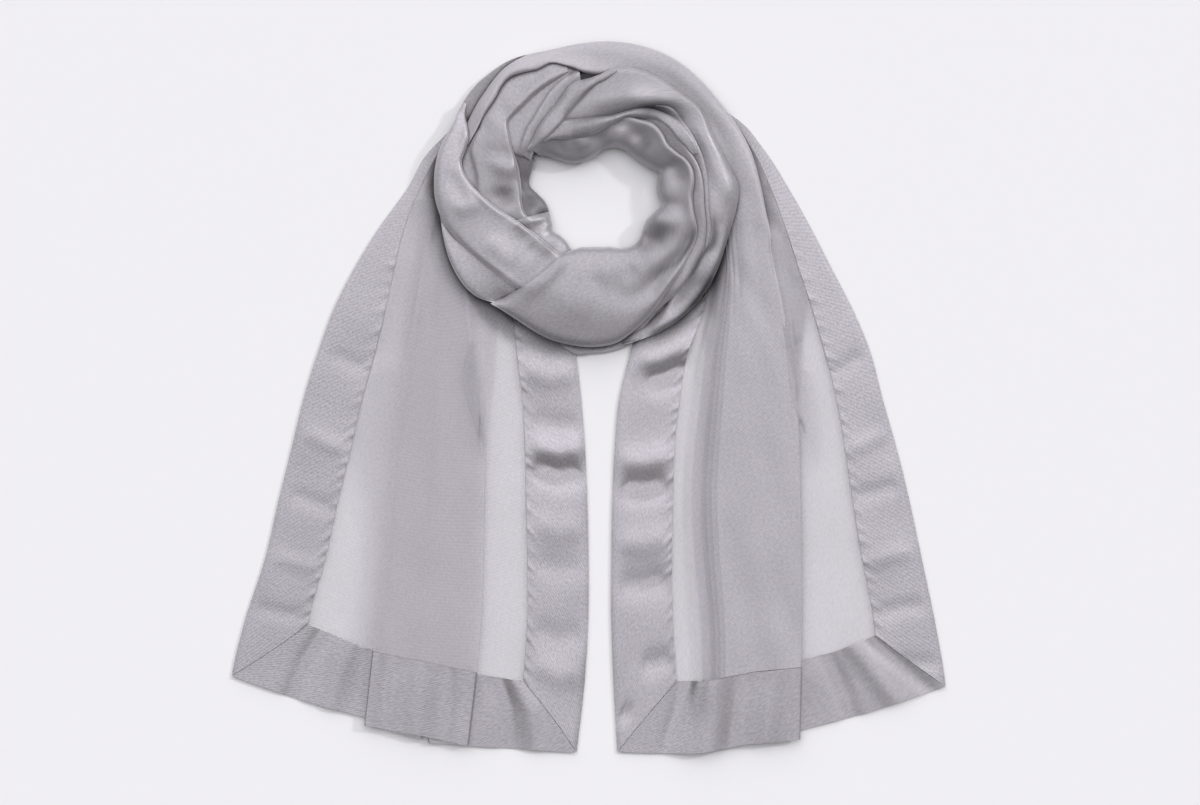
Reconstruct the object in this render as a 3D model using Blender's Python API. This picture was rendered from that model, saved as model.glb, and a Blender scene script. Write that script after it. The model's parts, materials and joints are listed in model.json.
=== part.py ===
# Evening stole of sheer chiffon with satin borders, laid flat and wound once round a neck opening.
# Lengths are in millimetres. X runs to the right, Y towards the back of the neck, Z up.
import math

import bpy
import numpy as np

MM = 0.001
CHIFFON_WALL = 1.0
SATIN_WALL = 1.4
LOOP_WALL = 1.2
SEAM_GAP = 0.4
LAYER_PITCH = 3.0
LOOP_X = 8.0
LOOP_Y = 201.5
CORE_HEIGHT = 19.0
CLEARANCE = 0.35
CELL = 1.0
TAIL_ROWS = 15
FIELD_X = (-185.0, 215.0)
FIELD_Y = (-10.0, 375.0)

COLOURS = {"chiffon": (0.46, 0.45, 0.47), "satin": (0.48, 0.475, 0.49)}
ROUGHNESS = {"chiffon": 0.8, "satin": 0.35}

# Cross sections of the left tail: x of each line at the given y.
LEFT_LINES = ("outer_edge", "outer_seam", "left_fold", "right_fold", "inner_seam", "inner_edge")
LEFT_SECTIONS = [
    # y_mm, outer_edge, outer_seam, left_fold, right_fold, inner_seam, inner_edge
    (284.0, -126.0, -118.0, -136.0, -127.0, -84.0, -19.0),
    (262.0, -146.0, -138.0, -141.0, -127.0, -84.0, -19.0),
    (249.5, -158.5, -148.0, -144.0, -127.0, -84.0, -19.0),
    (209.5, -182.3, -169.8, -152.6, -127.0, -84.0, -19.0),
    (169.5, -211.0, -185.3, -162.0, -124.6, -81.7, -19.0),
    (129.5, -235.3, -195.0, -168.9, -121.4, -78.6, -19.0),
    (89.5, -255.3, -203.7, -175.3, -118.1, -75.5, -18.0),
    (49.5, -270.0, -213.2, -182.2, -113.9, -72.3, -13.7),
    (-0.5, -285.5, -227.0, -190.3, -107.9, -66.4, -7.8),
    (-50.5, -297.5, -238.2, -196.8, -103.3, -63.8, -4.0),
    (-100.5, -310.0, -250.5, -200.5, -104.0, -62.6, -1.8),
    (-160.5, -324.0, -263.7, -207.0, -105.0, -61.4, -0.5),
    (-220.5, -343.6, -279.9, -212.5, -107.2, -61.4, -0.9),
    (-285.0, -358.0, -281.2, -218.8, -113.0, -65.6, -4.8),
    (-353.0, -358.0, -281.2, -218.8, -120.0, -65.6, -12.5),
]

# Cross sections of the right tail.
RIGHT_LINES = ("inner_edge", "inner_seam", "hidden_fold", "pleat_fold", "outer_seam", "outer_edge")
RIGHT_SECTIONS = [
    # y_mm, inner_edge, inner_seam, hidden_fold, pleat_fold, outer_seam, outer_edge
    (294.0, 51.0, 118.0, 129.0, 138.0, 124.0, 127.0),
    (279.5, 51.0, 118.0, 129.0, 144.2, 142.0, 149.0),
    (249.5, 51.0, 118.0, 129.0, 161.9, 163.4, 175.0),
    (209.5, 51.0, 118.0, 130.0, 173.4, 182.4, 200.4),
    (169.5, 51.0, 118.0, 131.0, 182.9, 197.1, 222.7),
    (129.5, 51.0, 118.0, 132.0, 190.6, 210.1, 243.2),
    (89.5, 51.0, 114.5, 126.0, 198.3, 223.4, 263.7),
    (49.5, 42.5, 99.8, 117.6, 204.7, 235.0, 280.4),
    (-0.5, 30.3, 90.5, 111.6, 208.3, 247.6, 293.6),
    (-50.5, 25.8, 85.3, 105.7, 210.9, 256.1, 307.8),
    (-100.5, 23.6, 84.0, 103.0, 211.9, 263.4, 320.0),
    (-160.5, 22.5, 83.0, 106.0, 212.8, 273.2, 332.7),
    (-220.5, 22.5, 83.8, 112.0, 212.8, 284.6, 345.3),
    (-290.0, 25.0, 88.0, 114.0, 212.0, 288.5, 356.5),
    (-353.0, 28.6, 88.0, 114.0, 210.7, 288.5, 356.5),
]

# The hidden layers inside the wound loop.
CORE_SECTIONS = [
    # turn_deg, outer_mm, inner_mm
    (0, 133, 72),
    (20, 136, 76),
    (40, 142, 67),
    (60, 144, 65),
    (80, 143, 61),
    (92, 141, 54),
    (105, 140, 49),
    (125, 144, 52),
    (140, 144, 68),
    (150, 143, 82),
    (165, 146, 81),
    (180, 144, 69),
    (195, 141, 61),
    (210, 137, 63),
    (225, 131, 66),
    (245, 128, 66),
    (262, 128, 61),
    (280, 126, 60),
    (300, 125, 68),
    (320, 123, 69),
    (335, 122, 65),
    (348, 126, 72),
]

# The stretches of the wound loop in the order they are laid. Hidden edges run on under a neighbour.
BACK_UNDER_FOLD = [
    # turn_deg, outer_mm, inner_mm, lean_deg
    (112, 155.5, 148, 0),
    (118, 160, 147, 0),
    (124, 163, 147, 0),
    (130, 163.8, 148, 0),
    (138, 165, 148, 0),
    (146, 163.5, 148, 0),
    (153, 160, 148, 0),
]
FRONT_UNDER_FOLD = [
    (254, 148, 134, 0),
    (262, 158, 137, 0),
    (268, 155.5, 137, 0),
    (275, 154, 136, 0),
    (281, 151.5, 133, 0),
    (288, 146, 130, 0),
]
INSIDE_LEFT_PANEL = [
    (148, 108, 74, 0),
    (152, 100, 71, 0),
    (158, 93, 70, 0),
    (165, 86, 69.5, 0),
    (170, 84, 68, 0),
    (176, 82, 60, 0),
    (183, 81, 53, 0),
    (190, 80, 50, 0),
    (195, 79, 49.5, 0),
    (201, 77, 50.5, 0),
]
LEFT_UNDER_FOLD = [
    (150, 148, 130, 0),
    (156, 150, 127, 0),
    (162, 150, 122, 0),
    (168, 144, 118, 0),
    (174, 135, 114, 0),
    (180, 122, 110, 0),
]
BACK_FOLD_LOW = [
    (98, 134, 120, 0),
    (104, 132, 116, 0),
    (110, 129, 111, 0),
    (116, 127, 106, 0),
    (122, 125, 101, 0),
    (128, 122, 95, 0),
    (134, 121, 92, 0),
    (140, 121, 89, 0),
    (146, 112, 86, 0),
    (152, 104, 84, 0),
]
LEFT_FOLD = [
    (103, 141, 127, 0),
    (108, 148, 123.5, 0),
    (115, 147, 120.5, 0),
    (122, 152, 118, 0),
    (130, 153, 115.5, 0),
    (136, 148, 115.5, 0),
    (141, 145, 114.5, 0),
    (145, 143, 106, 0),
    (150, 136.5, 98, 0),
    (155, 136, 89, 0),
    (160, 135, 83, 0),
    (165, 128.5, 79.5, 0),
    (170, 123, 77, 0),
    (175, 120.5, 75.5, 0),
    (180, 119, 75, 0),
    (186, 108, 74.5, 0),
    (192, 98, 74, 0),
    (197, 90, 71.5, 0),
    (202, 85, 70, 0),
]
INSIDE_FRONT_STRIP = [
    (196.5, 86, 50, 0),
    (200, 86, 50, 0),
    (205, 82, 51, 0),
    (210, 78, 52, 0),
    (217, 76, 55.5, 0),
    (222, 75, 54, 0),
    (228, 74, 53, 0),
    (236, 74, 54, 0),
    (243, 72, 57.5, 0),
    (250, 68, 58.5, 0),
]
BACK_FOLD_MID = [
    (98, 128, 112, 0),
    (102, 125, 109, 0),
    (106, 122, 104, 0),
    (110, 118.5, 98, 0),
    (115, 114, 93, 0),
    (120, 108.5, 89.5, 0),
    (125, 104, 86.5, 0),
    (130, 100, 84, 0),
    (135, 98, 81, 0),
    (140, 95, 78.5, 0),
    (145, 92, 77, 0),
    (151, 89, 76, 0),
]
BACK_OUTER_BAND = [
    (-12, 177.5, 131, 0),
    (-5, 169.5, 133, 0),
    (0, 166, 135, 0),
    (5, 163.5, 135, 0),
    (10, 162, 131, 0),
    (20, 159.5, 125.5, 0),
    (30, 156.5, 125, 0),
    (40, 155, 129, 0),
    (50, 156.5, 127, 0),
    (60, 158, 126.5, 0),
    (70, 158, 127, 0),
    (80, 157, 123, 0),
    (90, 155.5, 121, 0),
    (96, 154.5, 124, 0),
    (103, 154, 133, 0),
    (109, 155, 140.5, 0),
    (115, 158, 139.5, 0),
    (121, 159, 143.5, 0),
    (127, 158.5, 147, 0),
    (131, 156.5, 145, 0),
    (136, 154, 140.5, 0),
    (143, 151.5, 138.5, 0),
    (151, 149, 136.5, 0),
    (158, 147, 137.5, 0),
]
RIGHT_BAND = [
    (-80, 149, 135, 0),
    (-73, 148.3, 134.5, 0),
    (-67, 148, 134, 0),
    (-60, 147.5, 130, 0),
    (-50, 145.5, 121, 0),
    (-40, 143, 119, 0),
    (-30, 139.5, 117, 0),
    (-20, 136.5, 117, 0),
    (-12, 137, 112, 0),
    (-5, 139, 107, 0),
    (5, 141, 105, 0),
    (12, 135.5, 105, 0),
    (20, 131.5, 105.5, 0),
    (30, 131, 106, 0),
    (40, 135, 106, 0),
    (50, 133, 106, 0),
    (60, 132.5, 95, 0),
    (70, 133, 84, 0),
    (80, 129.5, 75, 0),
    (86, 124, 73, 0),
    (92, 117, 72, 0),
    (98, 111, 72, 0),
    (105, 105, 73, 0),
    (112, 96, 76, 0),
    (120, 89, 73, 0),
    (128, 85, 72, 0),
    (136, 82.5, 76, 0),
    (142, 82.5, 77.5, 0),
]
RIGHT_FOLD_LOW = [
    (-30, 120.5, 114, 0),
    (-22, 121.5, 110, 0),
    (-15, 117, 105.5, 0),
    (-8, 112.5, 101, 0),
    (0, 111, 100, 0),
    (10, 111, 99.5, 0),
    (20, 111.5, 98.5, 0),
    (30, 112, 94, 0),
    (40, 113, 92, 0),
    (50, 114, 92.5, 0),
    (57, 107, 88, 0),
]
RIGHT_FOLD_MID = [
    (-77, 141, 133, 0),
    (-70, 137, 127, 0),
    (-64, 131, 120, 0),
    (-57, 126.5, 114, 0),
    (-50, 124, 109, 0),
    (-40, 122.5, 104.5, 0),
    (-30, 120, 102, 0),
    (-22, 115.5, 100, 0),
    (-14, 111, 94.5, 0),
    (-5, 106.5, 89.5, 0),
    (5, 105.7, 89.5, 0),
    (15, 105, 92, 0),
    (25, 102.5, 87, 0),
    (35, 101, 81, 0),
    (45, 101, 84, 0),
    (52, 100, 85, 0),
    (60, 94, 83, 0),
    (67, 88, 80, 0),
]
FRONT_LEFT_UNDER = [
    (184, 157, 149, 0),
    (189, 157.2, 148, 0),
    (195, 158, 142, 0),
    (200, 159, 136, 0),
    (205, 159.5, 130, 0),
    (210, 159.5, 125, 0),
    (215, 158.5, 121, 0),
    (220, 155, 118, 0),
    (225, 148, 118, 0),
    (230, 142, 118, 0),
]
LEFT_FRONT_BAND = [
    (144.5, 163.5, 160, 0),
    (148, 161.7, 155, 0),
    (151, 160.6, 148, 0),
    (155, 161, 141, 0),
    (160, 163, 138.5, 0),
    (166, 164, 138.7, 0),
    (170, 163.7, 134, 0),
    (175, 162.7, 124, 0),
    (180, 161.3, 113.5, 0),
    (185, 158.3, 103, 0),
    (190, 154.5, 93.5, 0),
    (195, 148.5, 85.5, 0),
    (200, 142, 80, 0),
    (205, 136, 76, 0),
    (210, 131, 72, 0),
    (215, 127, 70, 0),
    (220, 124, 69, 0),
    (226, 122, 68, 0),
    (232, 119, 68, 0),
    (236, 116, 70, 4),
    (240, 112, 72, 6),
]
FRONT_WRAP = [
    (225, 150, 69, 13),
    (230, 147, 60, 13),
    (236, 146, 56, 11),
    (243, 147, 52.5, 9),
    (251, 149, 51, 6),
    (260, 149.5, 50, 3),
    (270, 149, 49.5, 0),
    (278, 146, 50, 0),
    (285, 138.5, 51, 0),
    (292, 131, 54.5, 0),
    (300, 122.5, 58, 0),
    (308, 115.8, 60, 0),
    (316, 112.5, 59.5, 0),
    (325, 108.5, 56, 0),
    (335, 107.3, 54.5, 0),
    (341, 105, 56.5, 0),
    (347, 99.8, 60, 0),
    (354, 95.5, 65, 0),
    (361, 94.5, 61, 0),
    (369, 97.5, 60.3, 0),
    (376, 98, 62.3, 0),
    (382, 95.5, 66.5, 0),
    (388, 90.5, 61, 0),
    (396, 87, 56.5, 0),
    (405, 90, 54.5, 0),
    (413, 90.7, 54.2, 0),
    (421, 87.5, 54.5, 0),
    (430, 86, 53, 0),
    (437, 80, 50.5, 0),
    (445, 72, 46.5, 0),
    (452, 68, 41.5, 0),
    (460, 66, 38.5, 0),
    (467, 66, 37.4, 0),
    (475, 68, 38.3, 0),
    (482, 72, 40, 0),
    (488, 76, 43.5, 0),
    (494, 78.5, 50, 0),
    (499, 80, 60, 0),
    (504, 80.5, 70, 0),
]
BACK_INNER_FOLD = [
    (23, 108, 104, 0),
    (30, 110, 99.5, 0),
    (36, 110, 97, 0),
    (44, 108.8, 97.5, 0),
    (52, 105, 96, 0),
    (60, 100.5, 89.5, 0),
    (65, 95.5, 86.5, 0),
    (70, 90, 83, 0),
    (75, 85, 76, 0),
    (80, 81, 71, 0),
    (86, 79, 65.5, 0),
    (93, 78, 61.5, 0),
    (101, 78, 60, 0),
    (109, 80, 61, 0),
    (116, 83, 63, 0),
    (123, 82, 67.5, 0),
    (129, 79, 72.5, 0),
    (134, 79.5, 74.5, 0),
]
BACK_LIP_FOLD = [
    (81, 127, 124.5, 0),
    (86, 122.5, 115, 0),
    (90, 119.5, 111, 0),
    (95, 117.5, 103.5, 0),
    (100, 116, 95.5, 0),
    (105, 111.5, 90, 0),
    (110, 104, 85.5, 0),
    (115, 99, 81, 0),
    (120, 95.5, 78, 0),
    (125, 92.5, 76.5, 0),
    (130, 90, 76, 0),
    (135, 87, 77, 0),
    (140, 84.5, 77.5, 0),
    (146, 83.5, 78, 0),
]

STRETCHES = [
    # name, table, stations, columns, loft_mm, outer_rest_mm, inner_rest_mm, start_rest_mm
    ("back_under_fold", BACK_UNDER_FOLD, 10, 4, 1.0, 5.0, 0.0, 0.0),
    ("front_under_fold", FRONT_UNDER_FOLD, 9, 4, 0.5, 3.0, 0.0, 0.0),
    ("inside_left_panel", INSIDE_LEFT_PANEL, 12, 5, 1.0, 0.0, 5.0, 0.0),
    ("left_under_fold", LEFT_UNDER_FOLD, 7, 4, 0.8, 0.0, 0.0, 0.0),
    ("back_fold_low", BACK_FOLD_LOW, 12, 5, 1.5, 0.0, 0.0, 0.0),
    ("left_fold", LEFT_FOLD, 22, 6, 3.0, 0.0, 0.0, 0.0),
    ("inside_front_strip", INSIDE_FRONT_STRIP, 12, 5, 1.5, 0.0, 6.0, 0.0),
    ("back_fold_mid", BACK_FOLD_MID, 12, 5, 2.0, 0.0, 0.0, 0.0),
    ("back_outer_band", BACK_OUTER_BAND, 30, 6, 3.0, 6.5, 0.0, 5.5),
    ("right_band", RIGHT_BAND, 38, 6, 3.5, 5.0, 0.0, 0.0),
    ("right_fold_low", RIGHT_FOLD_LOW, 14, 4, 2.0, 0.0, 0.0, 0.0),
    ("right_fold_mid", RIGHT_FOLD_MID, 22, 4, 2.5, 0.0, 0.0, 0.0),
    ("front_left_under", FRONT_LEFT_UNDER, 11, 5, 1.5, 6.0, 0.0, 0.0),
    ("left_front_band", LEFT_FRONT_BAND, 24, 7, 4.0, 6.0, 0.0, 0.0),
    ("front_wrap", FRONT_WRAP, 50, 7, 3.5, 6.5, 8.0, 0.0),
    ("back_inner_fold", BACK_INNER_FOLD, 20, 4, 2.0, 0.0, 0.0, 0.0),
    ("back_lip_fold", BACK_LIP_FOLD, 15, 4, 2.0, 0.0, 0.0, 0.0),
]


def clear_scene():
    for item in list(bpy.data.objects):
        bpy.data.objects.remove(item, do_unlink=True)


def material(name, cloth):
    made = bpy.data.materials.new(name)
    made.use_nodes = True
    shader = made.node_tree.nodes["Principled BSDF"]
    shader.inputs["Base Color"].default_value = (*COLOURS[cloth], 1.0)
    shader.inputs["Roughness"].default_value = ROUGHNESS[cloth]
    shader.inputs["Metallic"].default_value = 0.0
    return made


def add_object(name, cloth, points, faces):
    mesh = bpy.data.meshes.new(name)
    mesh.from_pydata((points * MM).tolist(), [], faces.tolist())
    mesh.update()
    item = bpy.data.objects.new(name, mesh)
    item.data.materials.append(material(name, cloth))
    bpy.context.scene.collection.objects.link(item)
    return item


def wall_faces(rows, columns):
    """Triangles of a closed wall whose upper grid comes first and lower grid second."""
    under = rows * columns
    faces = []
    for i in range(rows - 1):
        for j in range(columns - 1):
            a = i * columns + j
            b = a + columns
            faces += [(a, b, b + 1), (a, b + 1, a + 1)]
            faces += [(under + a, under + b + 1, under + b), (under + a, under + a + 1, under + b + 1)]
    rim = [j for j in range(columns)]
    rim += [i * columns + columns - 1 for i in range(1, rows)]
    rim += [(rows - 1) * columns + j for j in range(columns - 2, -1, -1)]
    rim += [i * columns for i in range(rows - 2, 0, -1)]
    for a, b in zip(rim, rim[1:] + rim[:1]):
        faces += [(a, b, under + b), (a, under + b, under + a)]
    return np.array(faces)


def facing_out(points, faces):
    a, b, c = (points[faces[:, k]] for k in range(3))
    volume = np.einsum("ij,ij->i", a, np.cross(b, c)).sum()
    return faces if volume > 0 else faces[:, ::-1]


def resample(rows, count):
    """A table's rows spread evenly along the stretch and joined by a smooth curve."""
    rows = np.array(rows, float)
    middle = (rows[:, 1] + rows[:, 2]) / 2
    angle = np.radians(rows[:, 0])
    step = np.hypot(np.diff(middle * np.cos(angle)), np.diff(middle * np.sin(angle)))
    reach = np.concatenate([[0.0], np.cumsum(step)])
    slope = np.gradient(rows, reach, axis=0)
    found = []
    for at in np.linspace(0, reach[-1], count):
        k = min(int(np.searchsorted(reach, at, side="right")) - 1, len(reach) - 2)
        span = reach[k + 1] - reach[k]
        t = (at - reach[k]) / span
        start = (2 * t**3 - 3 * t**2 + 1) * rows[k] + (t**3 - 2 * t**2 + t) * span * slope[k]
        end = (3 * t**2 - 2 * t**3) * rows[k + 1] + (t**3 - t**2) * span * slope[k + 1]
        found.append(start + end)
    return np.array(found)


def polar(turn, radius):
    angle = math.radians(turn)
    return LOOP_X + radius * math.cos(angle), LOOP_Y + radius * math.sin(angle)


class Field:
    """Height of what has been laid so far, on a square grid."""

    def __init__(self):
        self.nx = int((FIELD_X[1] - FIELD_X[0]) / CELL) + 1
        self.ny = int((FIELD_Y[1] - FIELD_Y[0]) / CELL) + 1
        self.height = np.zeros((self.nx, self.ny))

    def cover(self, corners):
        """Cells under a triangle and the share of each corner there."""
        x = (corners[:, 0] - FIELD_X[0]) / CELL
        y = (corners[:, 1] - FIELD_Y[0]) / CELL
        area = (x[1] - x[0]) * (y[2] - y[0]) - (x[2] - x[0]) * (y[1] - y[0])
        i0, i1 = max(math.floor(x.min()), 0), min(math.ceil(x.max()), self.nx - 1)
        j0, j1 = max(math.floor(y.min()), 0), min(math.ceil(y.max()), self.ny - 1)
        if abs(area) < 1e-9 or i1 < i0 or j1 < j0:
            return None
        i, j = np.meshgrid(np.arange(i0, i1 + 1), np.arange(j0, j1 + 1), indexing="ij")
        second = ((i - x[0]) * (y[2] - y[0]) - (x[2] - x[0]) * (j - y[0])) / area
        third = ((x[1] - x[0]) * (j - y[0]) - (i - x[0]) * (y[1] - y[0])) / area
        share = np.stack([1 - second - third, second, third], axis=-1)
        inside = share.min(axis=-1) > -0.02
        return i[inside], j[inside], share[inside]

    def lay(self, points, faces):
        for face in faces:
            found = self.cover(points[face])
            if found is None:
                continue
            i, j, share = found
            z = share @ points[face][:, 2]
            np.maximum.at(self.height, (i, j), z)

    def needed(self):
        """Least height of the next layer: what is there, widened by about a cell and a half."""
        wide = self.height.copy()
        for di, dj in [(1, 0), (-1, 0), (0, 1), (0, -1), (1, 1), (-1, 1), (1, -1), (-1, -1)]:
            wide = np.maximum(wide, np.roll(self.height, (di, dj), axis=(0, 1)))
        wider = wide.copy()
        for di, dj in [(1, 0), (-1, 0), (0, 1), (0, -1)]:
            wider = np.maximum(wider, np.roll(wide, (di, dj), axis=(0, 1)))
        return wider + CLEARANCE


def settle(field, plan, faces, rest, loft):
    """Heights at which a stretch rests on what is under it, taut between the places it touches."""
    rows, columns = rest.shape
    need = field.needed()
    flat = plan.reshape(-1, 2)
    cells, corners, shares = [], [], []
    for face in faces:
        found = field.cover(np.column_stack([flat[face], np.zeros(3)]))
        if found is None:
            continue
        cells.append(need[found[0], found[1]])
        corners.append(np.tile(face, (len(found[0]), 1)))
        shares.append(found[2])
    cells = np.concatenate(cells)
    corners = np.concatenate(corners)
    shares = np.clip(np.concatenate(shares), 0, 1)
    weight = shares / (shares**2).sum(axis=1, keepdims=True)

    def lift(z, full):
        short = cells - (z.ravel()[corners] * shares).sum(axis=1)
        short = np.maximum(short, 0)
        extra = np.zeros(rows * columns)
        push = short[:, None] * (np.ones(3) if full else weight)
        np.maximum.at(extra, corners.ravel(), push.ravel())
        return z + extra.reshape(rows, columns)

    i = np.clip(np.round((flat[:, 0] - FIELD_X[0]) / CELL).astype(int), 0, field.nx - 1)
    j = np.clip(np.round((flat[:, 1] - FIELD_Y[0]) / CELL).astype(int), 0, field.ny - 1)
    under = np.maximum(need[i, j].reshape(rows, columns), rest)
    z = under.copy()
    for _ in range(60):
        z[1:-1, 1:-1] = (z[2:, 1:-1] + z[:-2, 1:-1] + z[1:-1, 2:] + z[1:-1, :-2]) / 4
        z = lift(np.maximum(z, under), False)
    z = z + loft
    for _ in range(12):
        z = lift(z, False)
    for _ in range(4):
        z = lift(z, True)
    return z


def stretch(field, name, table, stations, columns, loft_mm, outer_rest, inner_rest, start_rest):
    """One visible stretch of the loop: a wall laid on everything under it."""
    rows = resample(table, stations)
    plan = np.zeros((stations, columns, 2))
    across = np.linspace(0, 1, columns)
    for i, (turn, outer, inner, lean) in enumerate(rows):
        for j, share in enumerate(across):
            radius = inner + (outer - inner) * share
            plan[i, j] = polar(turn + lean * (1 - share), radius)
    count = stations * columns
    faces = wall_faces(stations, columns)
    upper = faces[(faces < count).all(axis=1)]
    rest = np.zeros((stations, columns))
    rest[:, -1] = outer_rest
    rest[:, 0] = inner_rest
    rest[0] = np.maximum(rest[0], start_rest)
    along = np.linspace(0, 1, stations)[:, None]
    fade = np.minimum(1, np.minimum(along, 1 - along) * 6) ** 0.5
    loft = loft_mm * fade * (4 * across * (1 - across)) ** 0.6
    low = settle(field, plan, upper, rest, loft)
    ahead = np.gradient(np.dstack([plan, low]), axis=0)
    beside = np.gradient(np.dstack([plan, low]), axis=1)
    normal = np.cross(ahead, beside)
    lean_up = np.abs(normal[..., 2]) / np.linalg.norm(normal, axis=2)
    high = low + LOOP_WALL / np.clip(lean_up, 0.5, 1)
    top = np.dstack([plan, high]).reshape(-1, 3)
    bottom = np.dstack([plan, low]).reshape(-1, 3)
    points = np.vstack([top, bottom])
    faces = facing_out(points, faces)
    add_object(name, "chiffon", points, faces)
    field.lay(points, faces)


def core(field):
    """The rounded ring of hidden layers, flat underneath."""
    stations = 40
    lift = [(0.0, 0.0), (0.0, 0.5), (0.05, 0.78), (0.2, 0.95), (0.5, 1.0), (0.8, 0.93), (0.94, 0.72)]
    lift += [(1.0, 0.42), (1.0, 0.0)]
    rows = np.array(CORE_SECTIONS, float)
    turns = np.linspace(0, 360, stations, endpoint=False)
    outer = np.interp(turns, rows[:, 0], rows[:, 1], period=360)
    inner = np.interp(turns, rows[:, 0], rows[:, 2], period=360)
    points = []
    for turn, far, near in zip(turns, outer, inner):
        for share, height in lift:
            x, y = polar(turn, near + (far - near) * share)
            points.append((x, y, CORE_HEIGHT * height))
    points = np.array(points)
    ring = len(lift)
    faces = []
    for i in range(stations):
        for j in range(ring):
            a = i * ring + j
            b = i * ring + (j + 1) % ring
            c = ((i + 1) % stations) * ring + (j + 1) % ring
            d = ((i + 1) % stations) * ring + j
            faces += [(a, b, c), (a, c, d)]
    faces = facing_out(points, np.array(faces))
    add_object("loop_core", "chiffon", points, faces)
    field.lay(points, faces)


class Stop:
    """One place across a tail: its line, height above the surface, and where it meets the hem."""

    def __init__(self, line, next_line, share, level, top_y, seam_y, hem_x, hem_y, shift=0.0):
        self.line = line
        self.next_line = next_line
        self.share = share
        self.level = level
        self.top_y = top_y
        self.seam_y = seam_y
        self.hem_x = hem_x
        self.hem_y = hem_y
        self.shift = shift

    def x(self, sections, y):
        first = np.interp(y, *sections[self.line])
        second = np.interp(y, *sections[self.next_line])
        return first + (second - first) * self.share + self.shift


def fold(line, next_line, share, side, level_from, level_to, top_y, seam_y, hem_x, hem_y):
    """A rounded turn of the cloth. Side is 1 where it bulges to the right."""
    found = []
    middle = (level_from + level_to) / 2
    radius = abs(level_to - level_from) / 2
    for k in range(5):
        angle = math.pi * k / 4
        level = middle + (level_from - middle) * math.cos(angle)
        shift = side * radius * (math.sin(angle) - 1)
        found.append(Stop(line, next_line, share, level, top_y, seam_y, hem_x, hem_y, shift))
    return found


def sections_of(lines, table):
    rows = np.array(table, float)[::-1]
    return {line: (rows[:, 0], rows[:, k + 1]) for k, line in enumerate(lines)}


def wall_along(middle, thickness):
    """Upper and lower grids either side of a folded sheet, offset as its last section turns."""
    section = middle[-1][:, [0, 2]]
    step = np.diff(section, axis=0)
    step = step / np.linalg.norm(step, axis=1, keepdims=True)
    before = np.vstack([step[:1], step])
    after = np.vstack([step, step[-1:]])
    along = before + after
    normal = np.column_stack([-along[:, 1], np.zeros(len(along)), along[:, 0]])
    normal /= np.linalg.norm(normal, axis=1, keepdims=True)
    bend = np.clip((before * after).sum(axis=1), -0.2, 1)
    reach = normal * (thickness / 2 / np.sqrt((1 + bend) / 2))[:, None]
    return middle + reach, middle - reach


def add_wall(field, name, cloth, middle, thickness):
    upper, lower = wall_along(middle, thickness)
    rows, columns = middle.shape[:2]
    points = np.vstack([upper.reshape(-1, 3), lower.reshape(-1, 3)])
    points[:, 2] = np.maximum(points[:, 2], 0.0)
    faces = facing_out(points, wall_faces(rows, columns))
    add_object(name, cloth, points, faces)
    field.lay(points, faces)


def strip(field, name, cloth, sections, stops, rows, thickness, end_gap):
    """A piece of a tail from the loop down to the hem seam or the mitre."""
    middle = np.zeros((rows, len(stops), 3))
    for j, stop in enumerate(stops):
        for i, t in enumerate(np.linspace(0, 1, rows)):
            y = stop.top_y + t * (stop.seam_y + end_gap - stop.top_y)
            middle[i, j] = (stop.x(sections, y), y, stop.level + thickness / 2)
    add_wall(field, name, cloth, middle, thickness)


def mitre(sections, border):
    """The slanting end of a border strip, from its seam to its free edge."""
    return np.array([(stop.x(sections, stop.seam_y), stop.seam_y) for stop in border[::-1]])


def hem(field, name, sections, stops, thickness, first_end, last_end):
    """The border across the end of a tail, folded with the pleat above it."""
    rows = len(first_end)
    middle = np.zeros((rows, len(stops), 3))
    for j, stop in enumerate(stops):
        top_y = stop.seam_y - SEAM_GAP / 2
        top_x = stop.x(sections, top_y)
        for i, t in enumerate(np.linspace(0, 1, rows)):
            x = top_x + t * (stop.hem_x + stop.shift - top_x)
            y = top_y + t * (stop.hem_y - top_y)
            middle[i, j] = (x, y, stop.level + thickness / 2)
    inward = math.copysign(SEAM_GAP / 2, middle[0, -1, 0] - middle[0, 0, 0])
    middle[:, 0, :2] = first_end + (inward, -SEAM_GAP / 2)
    middle[:, -1, :2] = last_end + (-inward, -SEAM_GAP / 2)
    add_wall(field, name, "satin", middle, thickness)


def seam_pair(line, next_line, end_far, end_near, top_far, top_near):
    """Stops of a border strip from its free edge to its seam."""
    found = []
    for share in (0, 1 / 3, 2 / 3, 1):
        top = top_far + (top_near - top_far) * share
        end = end_far + (end_near - end_far) * share
        found.append(Stop(line, next_line, share, 0.0, top, end, 0, 0))
    return found


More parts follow.
